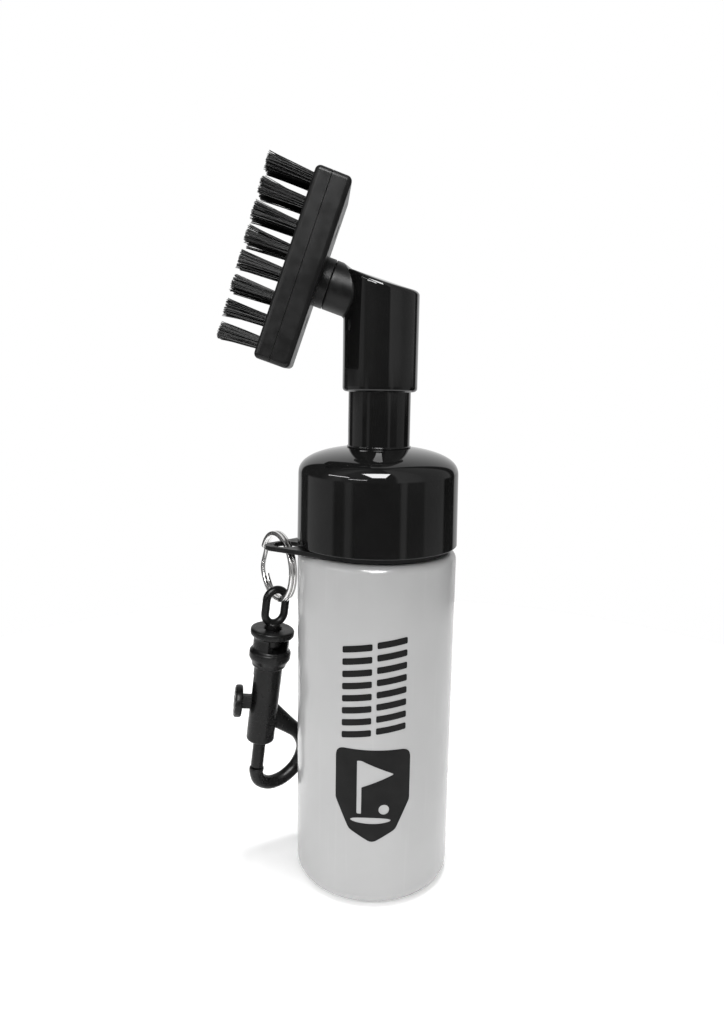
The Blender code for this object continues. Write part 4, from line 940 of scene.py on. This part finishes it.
def filament(shape, foot, tip, bow, radius):
    """One bristle: a thin strand that bends by bow at its middle and thins towards its tip."""
    steps, sides, thinning = 5, 5, 0.25
    along = (tip - foot).normalized()
    side = along.cross(Vector((0, 1, 0))).normalized()
    rise = side.cross(along)
    rings = []
    for i in range(steps + 1):
        t = i / steps
        middle = foot.lerp(tip, t) + bow * 4 * t * (1 - t)
        thick = radius * (1 - thinning * t * t)
        ring = []
        for k in range(sides):
            angle = 2 * math.pi * k / sides
            ring.append(shape.verts.new(middle + (side * math.cos(angle) + rise * math.sin(angle)) * thick))
        rings.append(ring)
    for a, b in zip(rings, rings[1:]):
        for k in range(sides):
            n = (k + 1) % sides
            shape.faces.new((a[k], a[n], b[n], b[k]))
    shape.faces.new(list(reversed(rings[0])))
    shape.faces.new(rings[-1])


def scattered(dice, spread):
    """A random step across the tufts."""
    return Vector((dice.gauss(0, spread), dice.gauss(0, spread), 0))


def tuft(shape, x, y, lean, tall, dice):
    """A tuft of filaments in loose clumps, spreading from its hole to a ragged tip."""
    clumps = [scattered(dice, CLUMP_SPREAD) for _ in range(CLUMPS)]
    for k in range(FILAMENTS):
        out = math.sqrt((k + 0.5) / FILAMENTS)
        angle = k * math.pi * (3 - math.sqrt(5)) + dice.uniform(-0.2, 0.2)
        ray = Vector((math.cos(angle), math.sin(angle), 0)) * out
        clump = clumps[int((angle % (2 * math.pi)) / (2 * math.pi) * len(clumps))] * out
        spread = STRAY_SPREAD if dice.random() < STRAY_SHARE else TIP_SPREAD
        drift = scattered(dice, spread)
        foot = Vector((x, y, STRIP_HIGH - 0.2)) + ray * (TUFT_ROOT_R - FILAMENT_R)
        long = tall - abs(dice.gauss(0, SHORT_SPREAD)) - OUTER_SHORTER * out
        tip = Vector((x, y, STRIP_HIGH)) + ray * TUFT_TIP_R + clump + drift
        tip += Vector((math.tan(lean), 0, 1)) * long
        bow = scattered(dice, BOW_SPREAD) - ray * BOW_INWARD
        filament(shape, foot, tip, bow, FILAMENT_R * dice.uniform(0.85, 1.1))


def make_bristles():
    """Eight rows of tufts. The rows fan out towards the head's ends."""
    dice = random.Random(8)
    for number, x in enumerate(row_places(), start=1):
        half, long = STRIP_WIDE / 2, STRIP_LONG / 2
        shape = rounded_block((x - half, -long, STRIP_LOW), (x + half, long, STRIP_HIGH), 0.2, 2)
        lean = FAN * x / row_places()[-1]
        for y in tuft_places(x):
            tuft(shape, x, y, lean, TUFT_TIP + TIP_SLOPE * x - STRIP_HIGH, dice)
        name = f"bristles_row_{number}"
        finished(name, shape, HEAD, "brush_head", NYLON, "bristle", f"bristle_row_{number}")


# Carried-over nodes, which sit inside


def finish_inner_nodes():
    finishes = {
        "cap_gasket": RUBBER, "rod_seal": RUBBER, "piston_o_ring": RUBBER, "neck_o_ring": RUBBER,
        "head_seal": RUBBER, "pump_cylinder": NATURAL, "ball_retainer": NATURAL, "dip_tube": NATURAL,
        "piston": NATURAL, "piston_rod": NATURAL, "inlet_ball": STEEL, "outlet_ball": STEEL,
    }
    for name, finish in finishes.items():
        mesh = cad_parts[name].data
        mesh.materials.clear()
        mesh.materials.append(finish)
        mesh.shade_smooth()
        mesh.set_sharp_from_angle(angle=math.radians(35))


# Studio. The floor and the lamps are given in metres.


def make_floor():
    floor_r = 0.26
    shape = bmesh.new()
    bmesh.ops.create_circle(shape, cap_ends=True, segments=96, radius=floor_r)
    mesh = bpy.data.meshes.new("floor")
    shape.to_mesh(mesh)
    shape.free()
    floor = bpy.data.objects.new("floor", mesh)
    LOOKS.objects.link(floor)
    paper = moulded("floor_paper", (0.96, 0.97), (0.7, 0.8), 6, 300, 0.02)
    paper.node_tree.nodes["Principled BSDF"].inputs["Emission Strength"].default_value = FLOOR_GLOW
    mesh.materials.append(paper)


def banded(tree, turn, bands):
    """Brightness round the horizon, from pairs of an angle from the front and a level."""
    ramp = node(tree, "ShaderNodeValToRGB", {"Fac": turn})
    stops = ramp.color_ramp.elements
    stops[0].color, stops[1].color = grey(bands[0][1]), grey(bands[-1][1])
    for angle, level in bands:
        stops.new((angle + 180) / 360).color = grey(level)
    return ramp.outputs["Color"]


def make_world():
    """A white sweep behind the object and a dim room round it. The camera sees plain white."""
    world = bpy.data.worlds.new("studio")
    bpy.context.scene.world = world
    world.use_nodes = True
    tree = world.node_tree
    place = node(tree, "ShaderNodeTexCoord").outputs["Generated"]
    axes = node(tree, "ShaderNodeSeparateXYZ", {"Vector": place}).outputs
    front = node(tree, "ShaderNodeMath", {0: axes["Y"], 1: -1.0}, operation="MULTIPLY").outputs[0]
    turn = node(tree, "ShaderNodeMath", {0: axes["X"], 1: front}, operation="ARCTAN2").outputs[0]
    turn = ranged(tree, turn, 0.0, 1.0, -math.pi, math.pi)
    level = ranged(tree, axes["Z"], 0.0, 1.0, -0.05, 0.01)
    light = blended(tree, level, banded(tree, turn, LOW_BANDS), banded(tree, turn, HIGH_BANDS))
    light = blended(tree, ranged(tree, axes["Z"], 0.0, 1.0, 0.98, 0.999), light, grey(ZENITH))
    ray = node(tree, "ShaderNodeLightPath").outputs
    light = blended(tree, ray["Is Diffuse Ray"], light, grey(AMBIENT))
    light = blended(tree, ray["Is Camera Ray"], light, grey(1.0))
    tree.links.new(light, tree.nodes["Background"].inputs["Color"])


def area_light(name, at, aim, size, brightness, lights=True, shows=True):
    """A rectangular lamp, with its brightness as power over area. It can only light or only show."""
    lamp = bpy.data.lights.new(name, "AREA")
    lamp.shape = "RECTANGLE"
    lamp.size, lamp.size_y = size
    lamp.energy = brightness * size[0] * size[1]
    light = bpy.data.objects.new(name, lamp)
    light.location = at
    light.rotation_euler = (Vector(aim) - Vector(at)).to_track_quat("-Z", "Y").to_euler()
    light.visible_diffuse, light.visible_glossy = lights, shows
    LOOKS.objects.link(light)


def make_lights():
    middle, below = (0.0, 0.0, 0.1), (-0.1, -1.2, 0.0)
    area_light("front_panel", (-0.1, -1.2, 1.0), below, (0.62, 1.2), 13.0)
    area_light("front_panel_glint", (-0.1, -1.2, 0.99), below, (0.62, 1.2), 55.0, False)
    area_light("overhead", (0.0, 0.0, 1.3), middle, (0.26, 0.26), 150.0, shows=False)
    area_light("near_tube", (-1.16, -0.58, 0.6), middle, (0.8, 0.05), 70.0)
    area_light("far_tube", (-1.5, -2.3, 0.6), middle, (1.3, 0.05), 70.0)


def make_camera():
    lens = bpy.data.cameras.new("camera")
    lens.lens, lens.sensor_width, lens.sensor_fit = CAMERA_LENS, CAMERA_SENSOR, "AUTO"
    lens.clip_start = 0.01
    camera = bpy.data.objects.new("camera", lens)
    bpy.context.scene.collection.objects.link(camera)
    flat = Vector((math.sin(CAMERA_YAW), math.cos(CAMERA_YAW), 0))
    ahead = flat * math.cos(CAMERA_PITCH) - UP * math.sin(CAMERA_PITCH)
    right = ahead.cross(UP).normalized()
    upward = right.cross(ahead)
    side = right * math.cos(CAMERA_ROLL) + upward * math.sin(CAMERA_ROLL)
    crown = upward * math.cos(CAMERA_ROLL) - right * math.sin(CAMERA_ROLL)
    turn = Matrix((side, crown, -ahead)).transposed().to_4x4()
    camera.matrix_world = Matrix.Translation(CAMERA_AT * MM) @ turn
    bpy.context.scene.camera = camera
    bpy.context.scene.view_settings.view_transform = "Standard"


make_camera()
make_bottle()
make_print()
make_cap()
make_lanyard_ring()
make_split_ring()
make_eye()
make_snap_hook()
make_bolt()
make_springs()
make_tower()
make_elbow()
make_back_cover()
make_bristle_plate()
make_nozzle()
for side, place in zip(("lower", "upper"), screw_places()):
    make_screw(f"screw_{side}", place, f"head_screw_{side}")
make_bristles()
finish_inner_nodes()
make_floor()
make_world()
make_lights()
